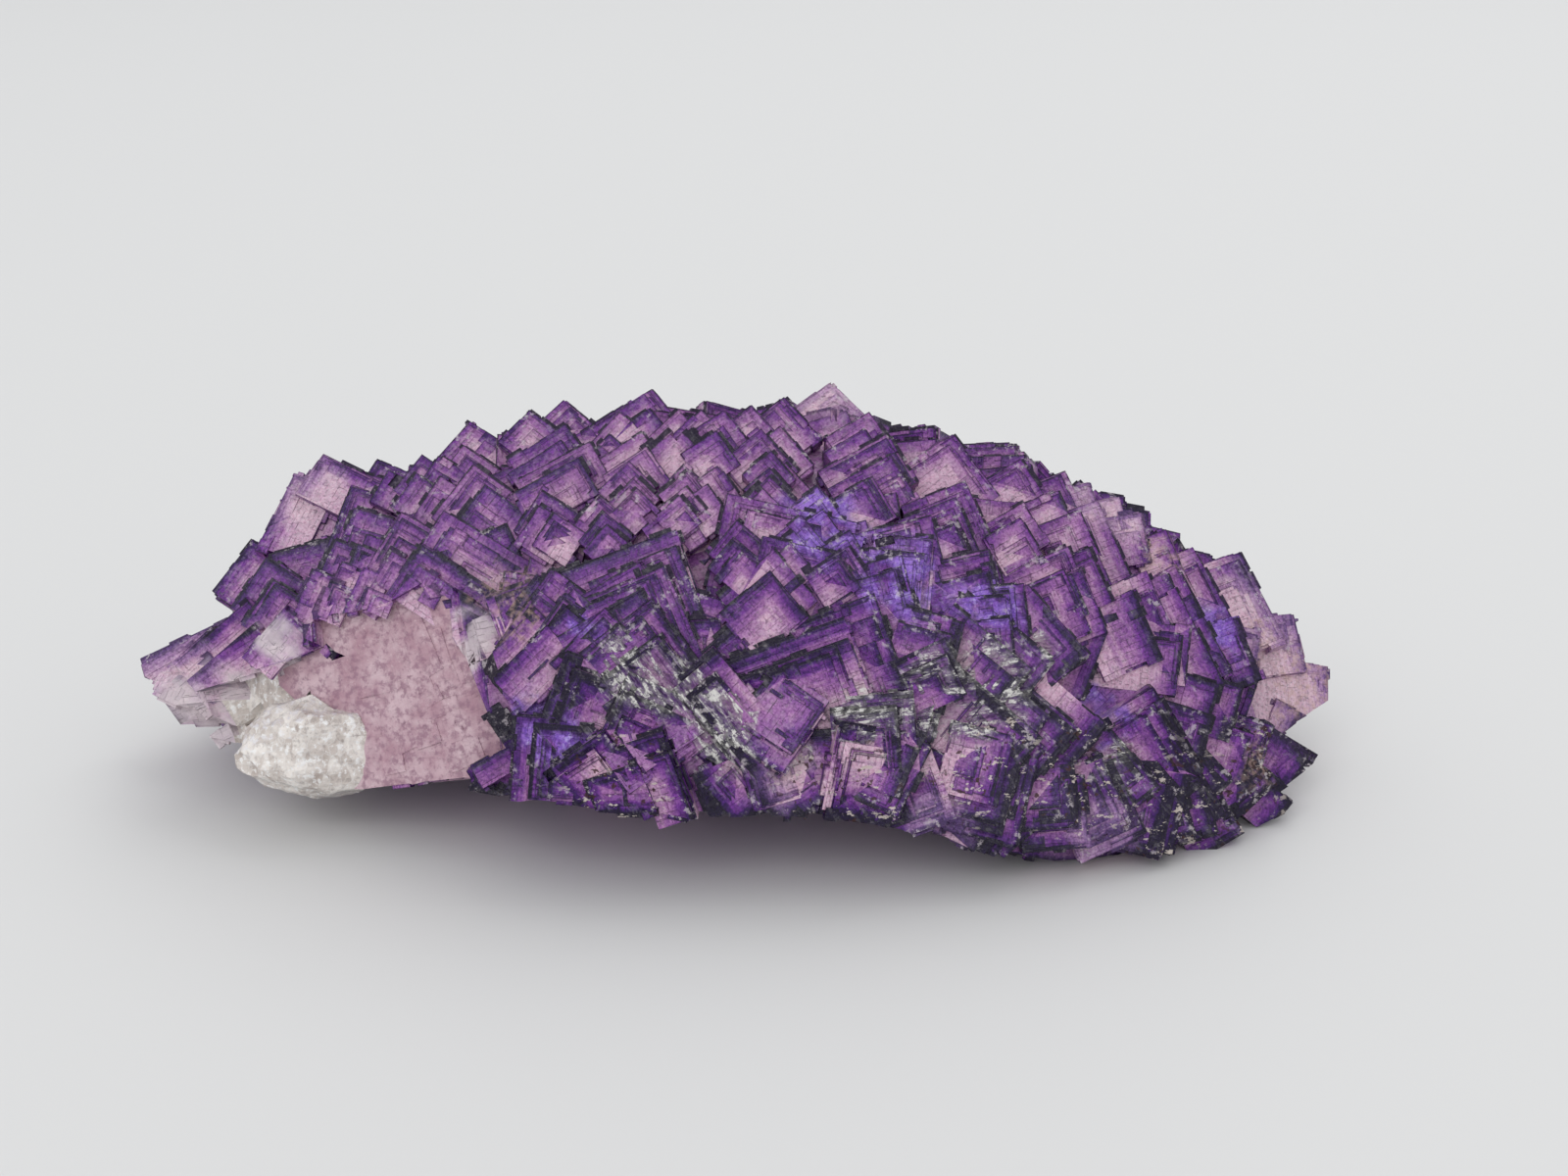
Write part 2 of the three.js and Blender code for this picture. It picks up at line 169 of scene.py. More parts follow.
shell = welded_copy(cad_mesh)
shell.faces.ensure_lookup_table()
print("facets:", len(shell.faces), "open edges:", sum(not e.is_manifold for e in shell.edges))

# %% Growth edges
LEAST_RIDGE = math.radians(50)
MOST_RIDGE = math.radians(130)


def is_growth_edge(edge):
    """A sharp outer edge of a cube, as against the seam where two crystals meet."""
    return edge.is_manifold and LEAST_RIDGE < edge.calc_face_angle_signed(0) < MOST_RIDGE


growth_edges = {edge for edge in shell.edges if is_growth_edge(edge)}
growth_length = sum(edge.calc_length() for edge in growth_edges)
print("growth edges:", len(growth_edges), "length in m:", round(growth_length, 2))

# %% The grain of a facet
SEAM_WEIGHT = 0.1


def grain_of(face):
    """The two directions in a facet's plane that its edges follow: a mean with fourfold symmetry."""
    start = face.normal.orthogonal().normalized()
    side = face.normal.cross(start)
    total = 0
    for loop in face.loops:
        along = loop.link_loop_next.vert.co - loop.vert.co
        weight = 1 if loop.edge in growth_edges else SEAM_WEIGHT
        total += weight * along.length * cmath.exp(4j * math.atan2(along.dot(side), along.dot(start)))
    turn = cmath.phase(total) / 4
    first = start * math.cos(turn) + side * math.sin(turn)
    return first, face.normal.cross(first)


largest = max(shell.faces, key=lambda face: face.calc_area())
print("grain of the largest facet:", [way.to_tuple(2) for way in grain_of(largest)])

# %% Which way the crystals have grown
# The stacks fan out from three roots on the front, as (across, up) in mm in a plane that faces the
# viewer, and from one root at the back.
FRONT_UP = Vector((0, math.sin(VIEW_LIFT), math.cos(VIEW_LIFT)))
FRONT_UP_TO = 12 * MM
LOW_ROOT = (20, 30)
LOW_BELOW = -3
MIDDLE_ROOT = (20, 0)
MIDDLE_BELOW = 34
MIDDLE_FROM = -10
DEEP_ROOT = (-5, -150)
BACK_ROOT = Vector((10, 30, -27)) * MM


def growth_way(point):
    """The direction in which the crystals at this point of the surface have grown."""
    if point.y > FRONT_UP_TO:
        return (point - BACK_ROOT).normalized()
    x, height = point.x / MM, point.dot(FRONT_UP) / MM
    if height < LOW_BELOW:
        root = LOW_ROOT
    elif height < MIDDLE_BELOW and x > MIDDLE_FROM:
        root = MIDDLE_ROOT
    else:
        root = DEEP_ROOT
    return (Vector((x - root[0], 0, 0)) + (height - root[1]) * FRONT_UP).normalized()


print("growth at the aim:", growth_way(AIM).to_tuple(2))

# %% Zones: how far a point lies in from a facet's edges
FAR = 12.0
NO_EDGE_DEPTH = 3.5


class Zones:
    """Lines along which a facet ends, as (direction out of the facet, how far out), in metres."""

    def __init__(self, first, second, ends):
        self.first = first
        self.second = second
        self.ends = ends    # out along first, out along second, back along first, back along second

    def depth(self, point, side):
        """Distance in mm from a point to one of the four ends, or far in where there is none."""
        if not any(end is not None for end in self.ends):
            return NO_EDGE_DEPTH
        if self.ends[side] is None:
            return FAR
        direction = (self.first, self.second, -self.first, -self.second)[side]
        return (self.ends[side] - point.dot(direction)) / MM

    def deeper(self, by):
        """The same lines, moved outwards by a distance in mm."""
        ends = [None if end is None else end + by * MM for end in self.ends]
        return Zones(self.first, self.second, ends)


print("depth where no edge is near:", FAR, "mm, on a facet without edges:", NO_EDGE_DEPTH, "mm")

# %% The zones of every facet
LEAST_AWAY = 0.12


def zones_of(face):
    """Each end is the mean place of the growth edges on that side, where the crystal grew that way."""
    first, second = grain_of(face)
    outward = (first, second, -first, -second)
    reach = [0.0] * 4
    length = [0.0] * 4
    for loop in face.loops:
        if loop.edge not in growth_edges:
            continue
        along = loop.link_loop_next.vert.co - loop.vert.co
        out = along.cross(face.normal).normalized()
        side = max(range(4), key=lambda k: out.dot(outward[k]))
        middle = (loop.link_loop_next.vert.co + loop.vert.co) / 2
        reach[side] += along.length * middle.dot(outward[side])
        length[side] += along.length
    away = growth_way(face.calc_center_median())
    grown = [n > 0 and away.dot(out) > LEAST_AWAY for n, out in zip(length, outward)]
    ends = [r / n if shown else None for r, n, shown in zip(reach, length, grown)]
    return Zones(first, second, ends)


facet_zones = [zones_of(face) for face in shell.faces]
print("facets with an outer edge:", sum(any(e is not None for e in z.ends) for z in facet_zones))

# %% [markdown]
# ## Blocks that carry their own zones
# Fluorite grows in layers, and each layer is a thin block with its own sharp edges. A cube scaled by
# a matrix makes one. What the material needs to know is written on the block's faces while its shape
# is simple: UV maps survive a boolean, so the joined mesh still knows every distance.

# %% The maps that every face carries
MAPS = ("zone", "zone_back", "rim", "rim_back", "grain")


class FaceMaps:
    """The layers of one bmesh that hold what the material reads."""

    def __init__(self, mesh):
        self.maps = [mesh.loops.layers.uv.new(name) for name in MAPS]
        self.tone = mesh.faces.layers.float.new("tone")
        self.kind = mesh.faces.layers.float.new("kind")

    def write(self, face, zones, rim, tone, kind):
        """Distances to the crystal's edges, to the block's own edges, and the place along the grain."""
        face[self.tone] = tone
        face[self.kind] = kind
        for loop in face.loops:
            point = loop.vert.co
            values = (
                (zones.depth(point, 0), zones.depth(point, 1)),
                (zones.depth(point, 2), zones.depth(point, 3)),
                (rim.depth(point, 0), rim.depth(point, 1)),
                (rim.depth(point, 2), rim.depth(point, 3)),
                (point.dot(rim.first) / MM, point.dot(rim.second) / MM),
            )
            for layer, value in zip(self.maps, values):
                loop[layer].uv = value


print("maps:", ", ".join(MAPS))

# %% A block
# A face's kind, which the material reads.
CRYSTAL, BROKEN, GLASSY = 0.0, 1.0, 2.0


class Block:
    """A box from low to high along three axes at an origin, with a random tone.

    Its hidden sides, as (axis, +1 or -1), lie inside the body and have no rim."""

    def __init__(self, origin, axes, low, high, zones, hidden=(), kind=CRYSTAL):
        self.origin = origin
        self.axes = axes
        self.low = low
        self.high = high
        self.zones = zones
        self.hidden = hidden
        self.kind = kind
        self.tone = random.random()

    def corners(self):
        for picks in ((a, b, c) for a in (0, 1) for b in (0, 1) for c in (0, 1)):
            steps = [(self.low, self.high)[pick][k] * self.axes[k] for k, pick in enumerate(picks)]
            yield self.origin + steps[0] + steps[1] + steps[2]

    def matrix(self):
        """What turns a cube of side 1 at the origin into the block."""
        spans = [self.high[k] - self.low[k] for k in range(3)]
        place = self.origin.copy()
        for k in range(3):
            place += self.axes[k] * (self.low[k] + self.high[k]) / 2
        turned = Matrix([self.axes[k] * spans[k] for k in range(3)]).transposed().to_4x4()
        return Matrix.Translation(place) @ turned


print("kinds:", {"crystal": CRYSTAL, "broken": BROKEN, "glassy": GLASSY})

# %% Adding a block to a mesh
# A side that stands up from the crystal's face is a wall. Its zones are its own rim, and lie a little
# deeper than the edge of the crystal, so that a low wall isn't all edge colour.
WALL_BELOW = 0.5
WALL_DEPTH = 1.6


def rim_of(block, normal):
    """The zones of the side that faces along a normal, from the block's own edges."""
    across = sorted(range(3), key=lambda k: abs(normal.dot(block.axes[k])))[:2]
    ends = []
    for sign in (1, -1):
        for k in across:
            edge = block.high[k] if sign > 0 else -block.low[k]
            shown = (k, sign) not in block.hidden
            ends.append(block.origin.dot(block.axes[k]) * sign + edge if shown else None)
    return Zones(block.axes[across[0]], block.axes[across[1]], ends)


def add_block(block, mesh, face_maps):
    matrix = block.matrix()
    made = bmesh.ops.create_cube(mesh, size=1, matrix=matrix)["verts"]
    faces = {face for vert in made for face in vert.link_faces}
    if matrix.determinant() < 0:
        bmesh.ops.reverse_faces(mesh, faces=list(faces))
    crystal_normal = block.zones.first.cross(block.zones.second)
    for face in faces:
        face.normal_update()
        rim = rim_of(block, face.normal)
        is_wall = abs(crystal_normal.dot(face.normal)) < WALL_BELOW
        zones = rim.deeper(WALL_DEPTH) if is_wall else block.zones
        face_maps.write(face, zones, rim, block.tone, block.kind)


print("a wall starts at a turn of", round(math.degrees(math.acos(WALL_BELOW))), "degrees")

# %% Inside or outside the solid
solid = BVHTree.FromBMesh(shell)


def inside(point):
    place, normal, _, _ = solid.find_nearest(point)
    return (point - place).dot(normal) < 0


def plate_sits(place, half_one, half_other, sunk):
    """Whether a plate's four corners, moved down by the vector sunk, all lie inside the solid."""
    return all(inside(place + a * half_one + b * half_other - sunk) for a in (-1, 1) for b in (-1, 1))


print("the aim is inside:", inside(AIM))

# %% [markdown]
# ## Growth layers
# On the real cubes each face is a flight of thin steps: every layer stopped a little short of the one
# below it, so its corner repeats the cube's corner further in. Insetting the facets would follow their
# jagged outlines. A pile of thin blocks laid into the corner gives the straight nested chevrons.

# %% Straight runs of outer edge
STRAIGHT_WITHIN = math.cos(math.radians(3))


def straight_run(loop, forwards):
    """The outer edge from a loop's corner: its length, its direction, and whether it ends at another
    outer corner."""
    total = 0
    start = None
    while True:
        edge_loop = loop if forwards else loop.link_loop_prev
        along = edge_loop.link_loop_next.vert.co - edge_loop.vert.co
        along = along if forwards else -along
        if start is None:
            start = along.normalized()
        if edge_loop.edge not in growth_edges:
            return total, start, False
        if along.normalized().dot(start) < STRAIGHT_WITHIN:
            return total, start, True
        total += along.length
        loop = loop.link_loop_next if forwards else loop.link_loop_prev


longest = max(straight_run(loop, True)[0] for loop in largest.loops)
print("longest run on the largest facet in mm:", round(longest / MM, 1))

# %% Outer corners of the facets
SQUARE_WITHIN = math.radians(12)

Corner = namedtuple("Corner", "place, u, v, length_u, length_v, free_u, free_v")


def outer_corner(loop):
    """The square outer corner at a loop, with its two edges, or None."""
    if loop.edge not in growth_edges or loop.link_loop_prev.edge not in growth_edges:
        return None
    ahead = (loop.link_loop_next.vert.co - loop.vert.co).normalized()
    back = (loop.link_loop_prev.vert.co - loop.vert.co).normalized()
    turns_out = ahead.cross(back).dot(loop.face.normal) > 0
    if not turns_out or abs(ahead.angle(back) - math.pi / 2) > SQUARE_WITHIN:
        return None
    length_u, u, free_u = straight_run(loop, True)
    length_v, v, free_v = straight_run(loop, False)
    return Corner(loop.vert.co.copy(), u, v, length_u, length_v, free_u, free_v)


def lean_back(corner):
    """Least where the corner points the way the crystal grew."""
    return (corner.u + corner.v).dot(growth_way(corner.place))


best_corners = {}
for face in shell.faces:
    found = [corner for corner in map(outer_corner, face.loops) if corner]
    if found:
        best_corners[face.index] = min(found, key=lean_back)
print("facets with a square corner:", len(best_corners))

# %% Steps along a layer
# A pair is a range in mm.
SUNK = 1.4 * MM
STEP_START = (0, 2)
STEP_REACH = 2 * MM
STEP_RUN = (2.0, 7.0)
STEP_OUT = (0.15, 0.7)
STEP_LEVEL = (-0.16, 0.06)
STEP_SHARE = 0.55


def steps_along(place, axes, spans, zones):
    """Short blocks that stand out from a plate's two outer edges, so that neither is one clean line."""
    made = []
    for side, other in ((0, 1), (1, 0)):
        at = random.uniform(*STEP_START) * MM
        while at < spans[side] - STEP_REACH:
            run = min(random.uniform(*STEP_RUN) * MM, spans[side] - at)
            if random.random() < STEP_SHARE:
                low, high = [0, 0, -SUNK], [0, 0, random.uniform(*STEP_LEVEL) * MM]
                low[side], high[side] = at, at + run
                low[other] = -random.uniform(*STEP_OUT) * MM
                high[other] = min(spans[other] / 2, STEP_REACH)
                made.append(Block(place, axes, low, high, zones, ((other, 1), (2, -1))))
            at += run
    return made


print("share of the edge that steps out:", STEP_SHARE)

# %% Layers in a corner
LAYER_INSET = (0.5, 3.6)
INSET_POWER = 2.5
LAYER_RISE = (0.16, 0.46)
LAYER_SINK = 0.25 * MM
LAYER_LEAST = 2.5 * MM
STEPS_FROM = 5 * MM
FREE_END = 0.4 * MM
FULL_SIZE_FROM = 16 * MM
LEAST_SIZE = 0.4
SPREADS = ((0.5, 1.5), (1.5, 0.5), (0.8, 1.1), (1.1, 0.8))


def tilted(u, v, normal, lean):
    """The same axes, nodding so that a plate with its corner at the tip sinks in at its far end."""
    hinge = (u - v).normalized()
    angle = lean if hinge.cross(u + v).dot(normal) > 0 else -lean
    nod = Matrix.Rotation(-angle, 3, hinge)
    return nod @ u, nod @ v, nod @ normal


def layers_at(face, corner, most):
    """Thin plates nested in a corner: each starts further in and a little above the one below."""
    place, u, v, length_u, length_v, free_u, free_v = corner
    normal = face.normal.copy()
    zones = facet_zones[face.index]
    v = (v - v.dot(u) * u).normalized()
    size = min(1.0, math.sqrt(length_u * length_v) / FULL_SIZE_FROM) * (1 - LEAST_SIZE) + LEAST_SIZE
    spread = random.choice(SPREADS)
    left = [length_u - (FREE_END if free_u else 0), length_v - (FREE_END if free_v else 0)]
    made = []
    for _ in range(most):
        low, high = LAYER_INSET
        wide = (low + (high - low) * random.random() ** INSET_POWER) * size * MM
        inset = [wide * share for share in spread]
        left = [span - step for span, step in zip(left, inset)]
        if min(left) < LAYER_LEAST:
            break
        rise = random.uniform(*LAYER_RISE) * size * MM
        place = place + inset[0] * u + inset[1] * v + rise * normal
        u, v, normal = tilted(u, v, normal, (rise + LAYER_SINK) / math.hypot(*left))
        hidden = ((0, 1), (1, 1), (2, -1))
        made.append(Block(place, (u, v, normal), (0, 0, -SUNK), (*left, 0), zones, hidden))
        if min(left) > STEPS_FROM:
            made += steps_along(place, (u, v, normal), left, zones)
    return made


print("inset of a layer in mm:", LAYER_INSET, "rise in mm:", LAYER_RISE)

# %% Lay the growth layers
random.seed(11)
IN_VIEW = 0.1
LAYERS_IN_VIEW = (2, 3, 4, 5)
LAYERS_OUT_OF_VIEW = (1, 2, 3)
MOST_LEAN_BACK = 0.1
LEAST_EDGE = 3.0 * MM

growth_layers = []
for index, corner in best_corners.items():
    face = shell.faces[index]
    in_view = face.normal.dot(towards_viewer) > IN_VIEW
    most = random.choice(LAYERS_IN_VIEW if in_view else LAYERS_OUT_OF_VIEW)
    if lean_back(corner) < MOST_LEAN_BACK and min(corner.length_u, corner.length_v) > LEAST_EDGE:
        growth_layers += layers_at(face, corner, most)
print("blocks in the growth layers:", len(growth_layers))

# %% [markdown]
# ## Ragged edges
# A growth edge is never one clean line: it is built of small cubes that stand a little proud or are
# missing. Moving points of the edge at random would make it wavy. Short blocks laid along each edge,
# and short bites cut from it, break the line up and keep every corner square.

# %% Blocks and bites along one edge
# A pair is a range in mm.
BLOCK_RUN = (1.2, 5.5)
BLOCK_WIDTH = (1.2, 3.2)
BLOCK_LEVEL = (-0.9, 0.1)
BLOCK_OUT = (0.1, 0.9)
BLOCK_GAP = (0, 1)
BLOCK_SHARE = 0.6
BITE_DEPTH = (0.2, 0.6)
BITE_SHARE = 0.12
OVERRUN = 1.5 * MM
LEAST_RUN = 0.8 * MM


def along_edge(edge):
    """Blocks to add and blocks to cut, along one growth edge."""
    one, other = sorted(edge.link_faces, key=lambda face: -face.normal.dot(towards_viewer))
    start, end = edge.verts[0].co, edge.verts[1].co
    length = (end - start).length
    along = (end - start) / length
    out = along.cross(one.normal)
    if out.dot(other.normal) < 0:
        out = -out
    axes = (along, out, one.normal.copy())
    zones = facet_zones[one.index]
    added, cut = [], []
    place = random.uniform(*BLOCK_RUN) * MM * random.random()
    while place < length:
        run = min(random.uniform(*BLOCK_RUN) * MM, length - place)
        wide, painted_shade_region = (random.uniform(*BLOCK_WIDTH) * MM for _ in range(2))
        dice = random.random()
        if run > LEAST_RUN and dice < BLOCK_SHARE:
            level, over = random.uniform(*BLOCK_LEVEL) * MM, random.uniform(*BLOCK_OUT) * MM
            low, high = (place, -wide, -painted_shade_region), (place + run, over, level)
            added.append(Block(start.copy(), axes, low, high, zones, ((1, -1), (2, -1))))
        elif run > LEAST_RUN and dice > 1 - BITE_SHARE:
            into, down = (random.uniform(*BITE_DEPTH) * MM for _ in range(2))
            low, high = (place, -into, -down), (place + run, OVERRUN, OVERRUN)
            cut.append(Block(start.copy(), axes, low, high, zones))
        place += run + random.uniform(*BLOCK_GAP) * MM
    return added, cut


print("share of blocks:", BLOCK_SHARE, "share of bites:", BITE_SHARE)

# %% Break up the growth edges
random.seed(23)
LEAST_BROKEN_UP = 1.5 * MM

edge_blocks, bites = [], []
for edge in sorted(growth_edges, key=lambda e: e.index):
    if edge.calc_length() > LEAST_BROKEN_UP:
        added, cut = along_edge(edge)
        edge_blocks += added
        bites += cut
print("edge blocks:", len(edge_blocks), "bites:", len(bites))

# %% [markdown]
# ## Streaky ridges
# Low on the front the big faces are etched into narrow ridges that all run one way. A bump map would
# fade at a low angle. Thin bars laid on the facets, along whichever edge direction is nearer to the
# local streak, give the combed look.

# %% Ridges
# A pair is a range in mm.
RIDGE_LENGTH = (1.2, 5.0)
RIDGE_WIDTH = (0.25, 0.8)
RIDGE_HEIGHT = (0.06, 0.22)
RIDGE_SWAY = 0.04
RIDGE_SITS_WITHIN = 0.15 * MM


def any_direction():
    return Vector([random.gauss(0, 1) for _ in range(3)]).normalized()


def ridge(middle, radii, streak):
    """A thin bar along the grain of the nearest facet, or None where its ends would overhang."""
    spot = Vector([middle[k] + radii[k] * random.uniform(-1, 1) for k in range(3)]) * MM
    place, normal, index, _ = solid.find_nearest(spot)
    zones = facet_zones[index]
    along, across = zones.first, zones.second
    if abs(across.dot(streak)) > abs(along.dot(streak)):
        along, across = across, along
    sway = Matrix.Rotation(random.gauss(0, RIDGE_SWAY), 3, any_direction())
    axes = (sway @ along, sway @ across, sway @ normal)
    half = (random.uniform(*RIDGE_LENGTH) * MM / 2, random.uniform(*RIDGE_WIDTH) * MM / 2)
    height = random.uniform(*RIDGE_HEIGHT) * MM
    if not plate_sits(place, half[0] * axes[0], half[1] * axes[1], RIDGE_SITS_WITHIN * normal):
        return None
    return Block(place, axes, (-half[0], -half[1], -SUNK), (*half, height), zones, ((2, -1),))


print("length of a ridge in mm:", RIDGE_LENGTH)

# %% Lay the ridges
random.seed(37)
DOWN_RIGHT = Vector((0.6, 0, -0.8))
SIDEWAYS = Vector((1, 0, 0.2))
UPRIGHT = Vector((0.2, 0, 1))
# middle in mm, half sizes in mm, how many are tried, which way they run
RIDGE_REGIONS = (
    ((-6, -58, 34), (20, 10, 14), 110, DOWN_RIGHT),
    ((42, -55, 34), (14, 10, 10), 90, SIDEWAYS),
    ((24, -60, 26), (12, 8, 10), 50, UPRIGHT),
    ((70, -48, 16), (34, 16, 12), 90, DOWN_RIGHT),
    ((-30, -56, 26), (12, 12, 14), 40, UPRIGHT),
)

ridges = []
for middle, radii, count, streak in RIDGE_REGIONS:
    bars = [ridge(middle, radii, streak) for _ in range(count)]
    ridges += [bar for bar in bars if bar]
print("ridges:", len(ridges))

# %% [markdown]
# ## The break
# At the left end a piece has come off along the cleavage. The fresh face is flat as a whole but runs
# in low steps. Subdividing it and moving rows of faces would bend them, so thin plates of uneven size
# are laid over its large facets.

# %% The facets of the break
BREAK_MIDDLE = Vector((-66, -43, 27)) * MM
BREAK_REACH = 40 * MM
BREAK_NORMALS = (Vector((-0.34, -0.90, 0.27)), Vector((-0.62, -0.76, 0.19)))
BREAK_FLAT = 0.995


def is_break(face):
    near = (face.calc_center_median() - BREAK_MIDDLE).length < BREAK_REACH
    return near and any(face.normal.dot(n.normalized()) > BREAK_FLAT for n in BREAK_NORMALS)


break_faces = {face.index for face in shell.faces if is_break(face)}
print("break facets:", len(break_faces))

# %% Steps of the break
random.seed(41)
BREAK_SPREAD = 26
BREAK_TURN = (28, 5)    # the mean turn from level and how much it varies, in degrees
STEPS_TRIED = 450
STEP_ACROSS = (2, 11)
STEP_RISE = (0.05, 0.28)
STEP_SITS_WITHIN = 0.5 * MM


def break_step():
    """A thin plate on the break, turned with the cleavage, or None where it would overhang."""
    offset = [random.uniform(-BREAK_SPREAD, BREAK_SPREAD) for _ in range(3)]
    spot = BREAK_MIDDLE + Vector(offset) * MM
    place, normal, index, _ = solid.find_nearest(spot)
    if index not in break_faces:
        return None
    turn = Matrix.Rotation(math.radians(random.gauss(*BREAK_TURN)), 3, normal)
    first = (turn @ normal.cross(Vector((0, 0, 1)))).normalized()
    second = normal.cross(first)
    wide, tall = (random.uniform(*STEP_ACROSS) * MM / 2 for _ in range(2))
    if not plate_sits(place, wide * first, tall * second, STEP_SITS_WITHIN * normal):
        return None
    low, high = (-wide, -tall, -SUNK), (wide, tall, random.uniform(*STEP_RISE) * MM)
    return Block(place, (first, second, normal), low, high, facet_zones[index], ((2, -1),), BROKEN)


steps_tried = [break_step() for _ in range(STEPS_TRIED)]
break_steps = [step for step in steps_tried if step]
print("break steps:", len(break_steps))

# %% [markdown]
# ## The glassy lump
# Below the break sits a clear lump that broke like glass, in curved shells. It could be sculpted by
# hand. Here a sphere cut back by planes at random angles takes broad facets, and a fine wave round
# each plane's own strike point gives the shell ripples.

# %% The lump's surface
random.seed(53)
LUMP_PLACE = Vector((-78.4, -39.6, 16.3)) * MM
LUMP_RADII = Vector((15.5, 10.5, 12)) * MM
LUMP_PLANES = 34
LUMP_CUT = (0.70, 0.92)
LEAST_FACING = 0.15
RIPPLE_DEPTH = 0.014
RIPPLES = 15

lump_planes = [(any_direction(), random.uniform(*LUMP_CUT), any_direction()) for _ in range(LUMP_PLANES)]


def shelly(direction):
    """Where the lump's surface lies along a direction, as a share of its radius."""
    reach, strike = min(
        ((cut / max(direction.dot(normal), LEAST_FACING), strike) for normal, cut, strike in lump_planes),
        key=lambda pair: pair[0],
    )
    return min(reach, 1.0) + RIPPLE_DEPTH * math.sin(RIPPLES * direction.angle(strike))


print("planes that cut the lump:", len(lump_planes))

# %% Lump
LUMP_SUBDIVISIONS = 5
LUMP_TONE = 0.5
LUMP_CLEAR = 1.25

lump = bmesh.new()
lump_maps = FaceMaps(lump)
bmesh.ops.create_icosphere(lump, subdivisions=LUMP_SUBDIVISIONS, radius=1)
for vert in lump.verts:
    share = shelly(vert.co.normalized())
    vert.co = LUMP_PLACE + Vector([vert.co[k] * share * LUMP_RADII[k] for k in range(3)])
lump.normal_update()
plain = Zones(Vector((1, 0, 0)), Vector((0, 0, 1)), [None] * 4)
for face in lump.faces:
    lump_maps.write(face, plain, plain, LUMP_TONE, GLASSY)


def in_lump(point):
    """Whether a point lies in the lump or close to it."""
    steps = [(point - LUMP_PLACE)[k] / LUMP_RADII[k] for k in range(3)]
    return Vector(steps).length < LUMP_CLEAR


print("lump faces:", len(lump.faces))

# %% [markdown]
# ## Joining everything
# Blocks that are only pushed into the body would leave hidden faces inside it, so booleans join them
# into one skin. The Manifold solver is fast and exact, but a tool mesh may not cross itself, so the
# blocks are first dealt into groups whose members keep apart.

# %% The body with its own maps
def object_from(mesh, name):
    data = bpy.data.meshes.new(name)
    mesh.to_mesh(data)
    mesh.free()
    made = bpy.data.objects.new(name, data)
    bpy.context.scene.collection.objects.link(made)
    return made


body_mesh = welded_copy(cad_mesh)
body_maps = FaceMaps(body_mesh)
for face, zones in zip(body_mesh.faces, facet_zones):
    face_kind = BROKEN if face.index in break_faces else CRYSTAL
    if in_lump(face.calc_center_median()):
        face_kind = GLASSY
    body_maps.write(face, zones, zones, random.random(), face_kind)
crystals = object_from(body_mesh, "fluorite_crystals")
print("body:", len(crystals.data.vertices), "points")

# %% Groups of blocks that keep apart
APART = 0.05 * MM


def apart(blocks):
    """The blocks in groups, in each of which no two boxes around a block meet."""
    groups = []
    for block in blocks:
        points = list(block.corners())
        low = [min(p[k] for p in points) - APART for k in range(3)]
        high = [max(p[k] for p in points) + APART for k in range(3)]
        for group in groups:
            if not any(
                low[0] < h[0] and l[0] < high[0] and low[1] < h[1] and l[1] < high[1]
                and low[2] < h[2] and l[2] < high[2] for l, h, _ in group
            ):
                group.append((low, high, block))
                break
        else:
            groups.append([(low, high, block)])
    return [[block for _, _, block in group] for group in groups]


def stays(block):
    """Whether a block is clear of the floor and of the lump."""
    places = list(block.corners())
    return min(place.z for place in places) > 0 and not in_lump(sum(places, Vector()) / len(places))


print("growth layers that stay:", sum(stays(block) for block in growth_layers))

# %% Combining
def combine(tool, operation):
    """Joins a tool object to the crystals, or cuts it from them, and removes it."""
    modifier = crystals.modifiers.new("combine", "BOOLEAN")
    modifier.solver = "MANIFOLD"
    modifier.operation = operation
    modifier.object = tool
    depsgraph = bpy.context.evaluated_depsgraph_get()
    result = bpy.data.meshes.new_from_object(crystals.evaluated_get(depsgraph))
    crystals.modifiers.remove(modifier)
    crystals.data = result
    bpy.data.objects.remove(tool)


def combine_blocks(blocks, operation):
    groups = apart([block for block in blocks if stays(block)])
    for group in groups:
        mesh = bmesh.new()
        block_maps = FaceMaps(mesh)
        for block in group:
            add_block(block, mesh, block_maps)
        combine(object_from(mesh, "tool"), operation)
    print(operation.lower(), len(blocks), "blocks in", len(groups), "groups:",
          len(crystals.data.polygons), "faces")


# %% Join and cut
combine_blocks(growth_layers, "UNION")
combine_blocks(edge_blocks, "UNION")
combine_blocks(bites, "DIFFERENCE")
combine_blocks(ridges, "UNION")
combine_blocks(break_steps, "UNION")
combine(object_from(lump, "tool"), "UNION")
print("crystals:", len(crystals.data.polygons), "faces, maps:", [m.name for m in crystals.data.uv_layers])

# %% Drop the imported normals and any loose crumb
CRUMB_FACES = 400

if "custom_normal" in crystals.data.attributes:
    crystals.data.attributes.remove(crystals.data.attributes["custom_normal"])
clean = bmesh.new()
clean.from_mesh(crystals.data)
unseen = set(clean.faces)
crumbs = []
while unseen:
    island = set()
    border = {unseen.pop()}
    while border:
        face = border.pop()
        island.add(face)
        near = {other for edge in face.edges for other in edge.link_faces} & unseen
        unseen -= near
        border |= near
    if len(island) < CRUMB_FACES:
        crumbs += island
bmesh.ops.delete(clean, geom=crumbs, context="FACES")
for face in clean.faces:
    face.smooth = False
clean.to_mesh(crystals.data)
clean.free()
crystals.data.calc_loop_triangles()
print("crumb faces removed:", len(crumbs), "left:", len(crystals.data.polygons),
      "triangles:", len(crystals.data.loop_triangles))

# %% [markdown]
# ## Shader maths in Python
# A node material is a long formula. Wiring it by hand hides the formula, so one small class wraps a
# socket and lets Python's operators add the Math nodes. Every other node comes from one method.

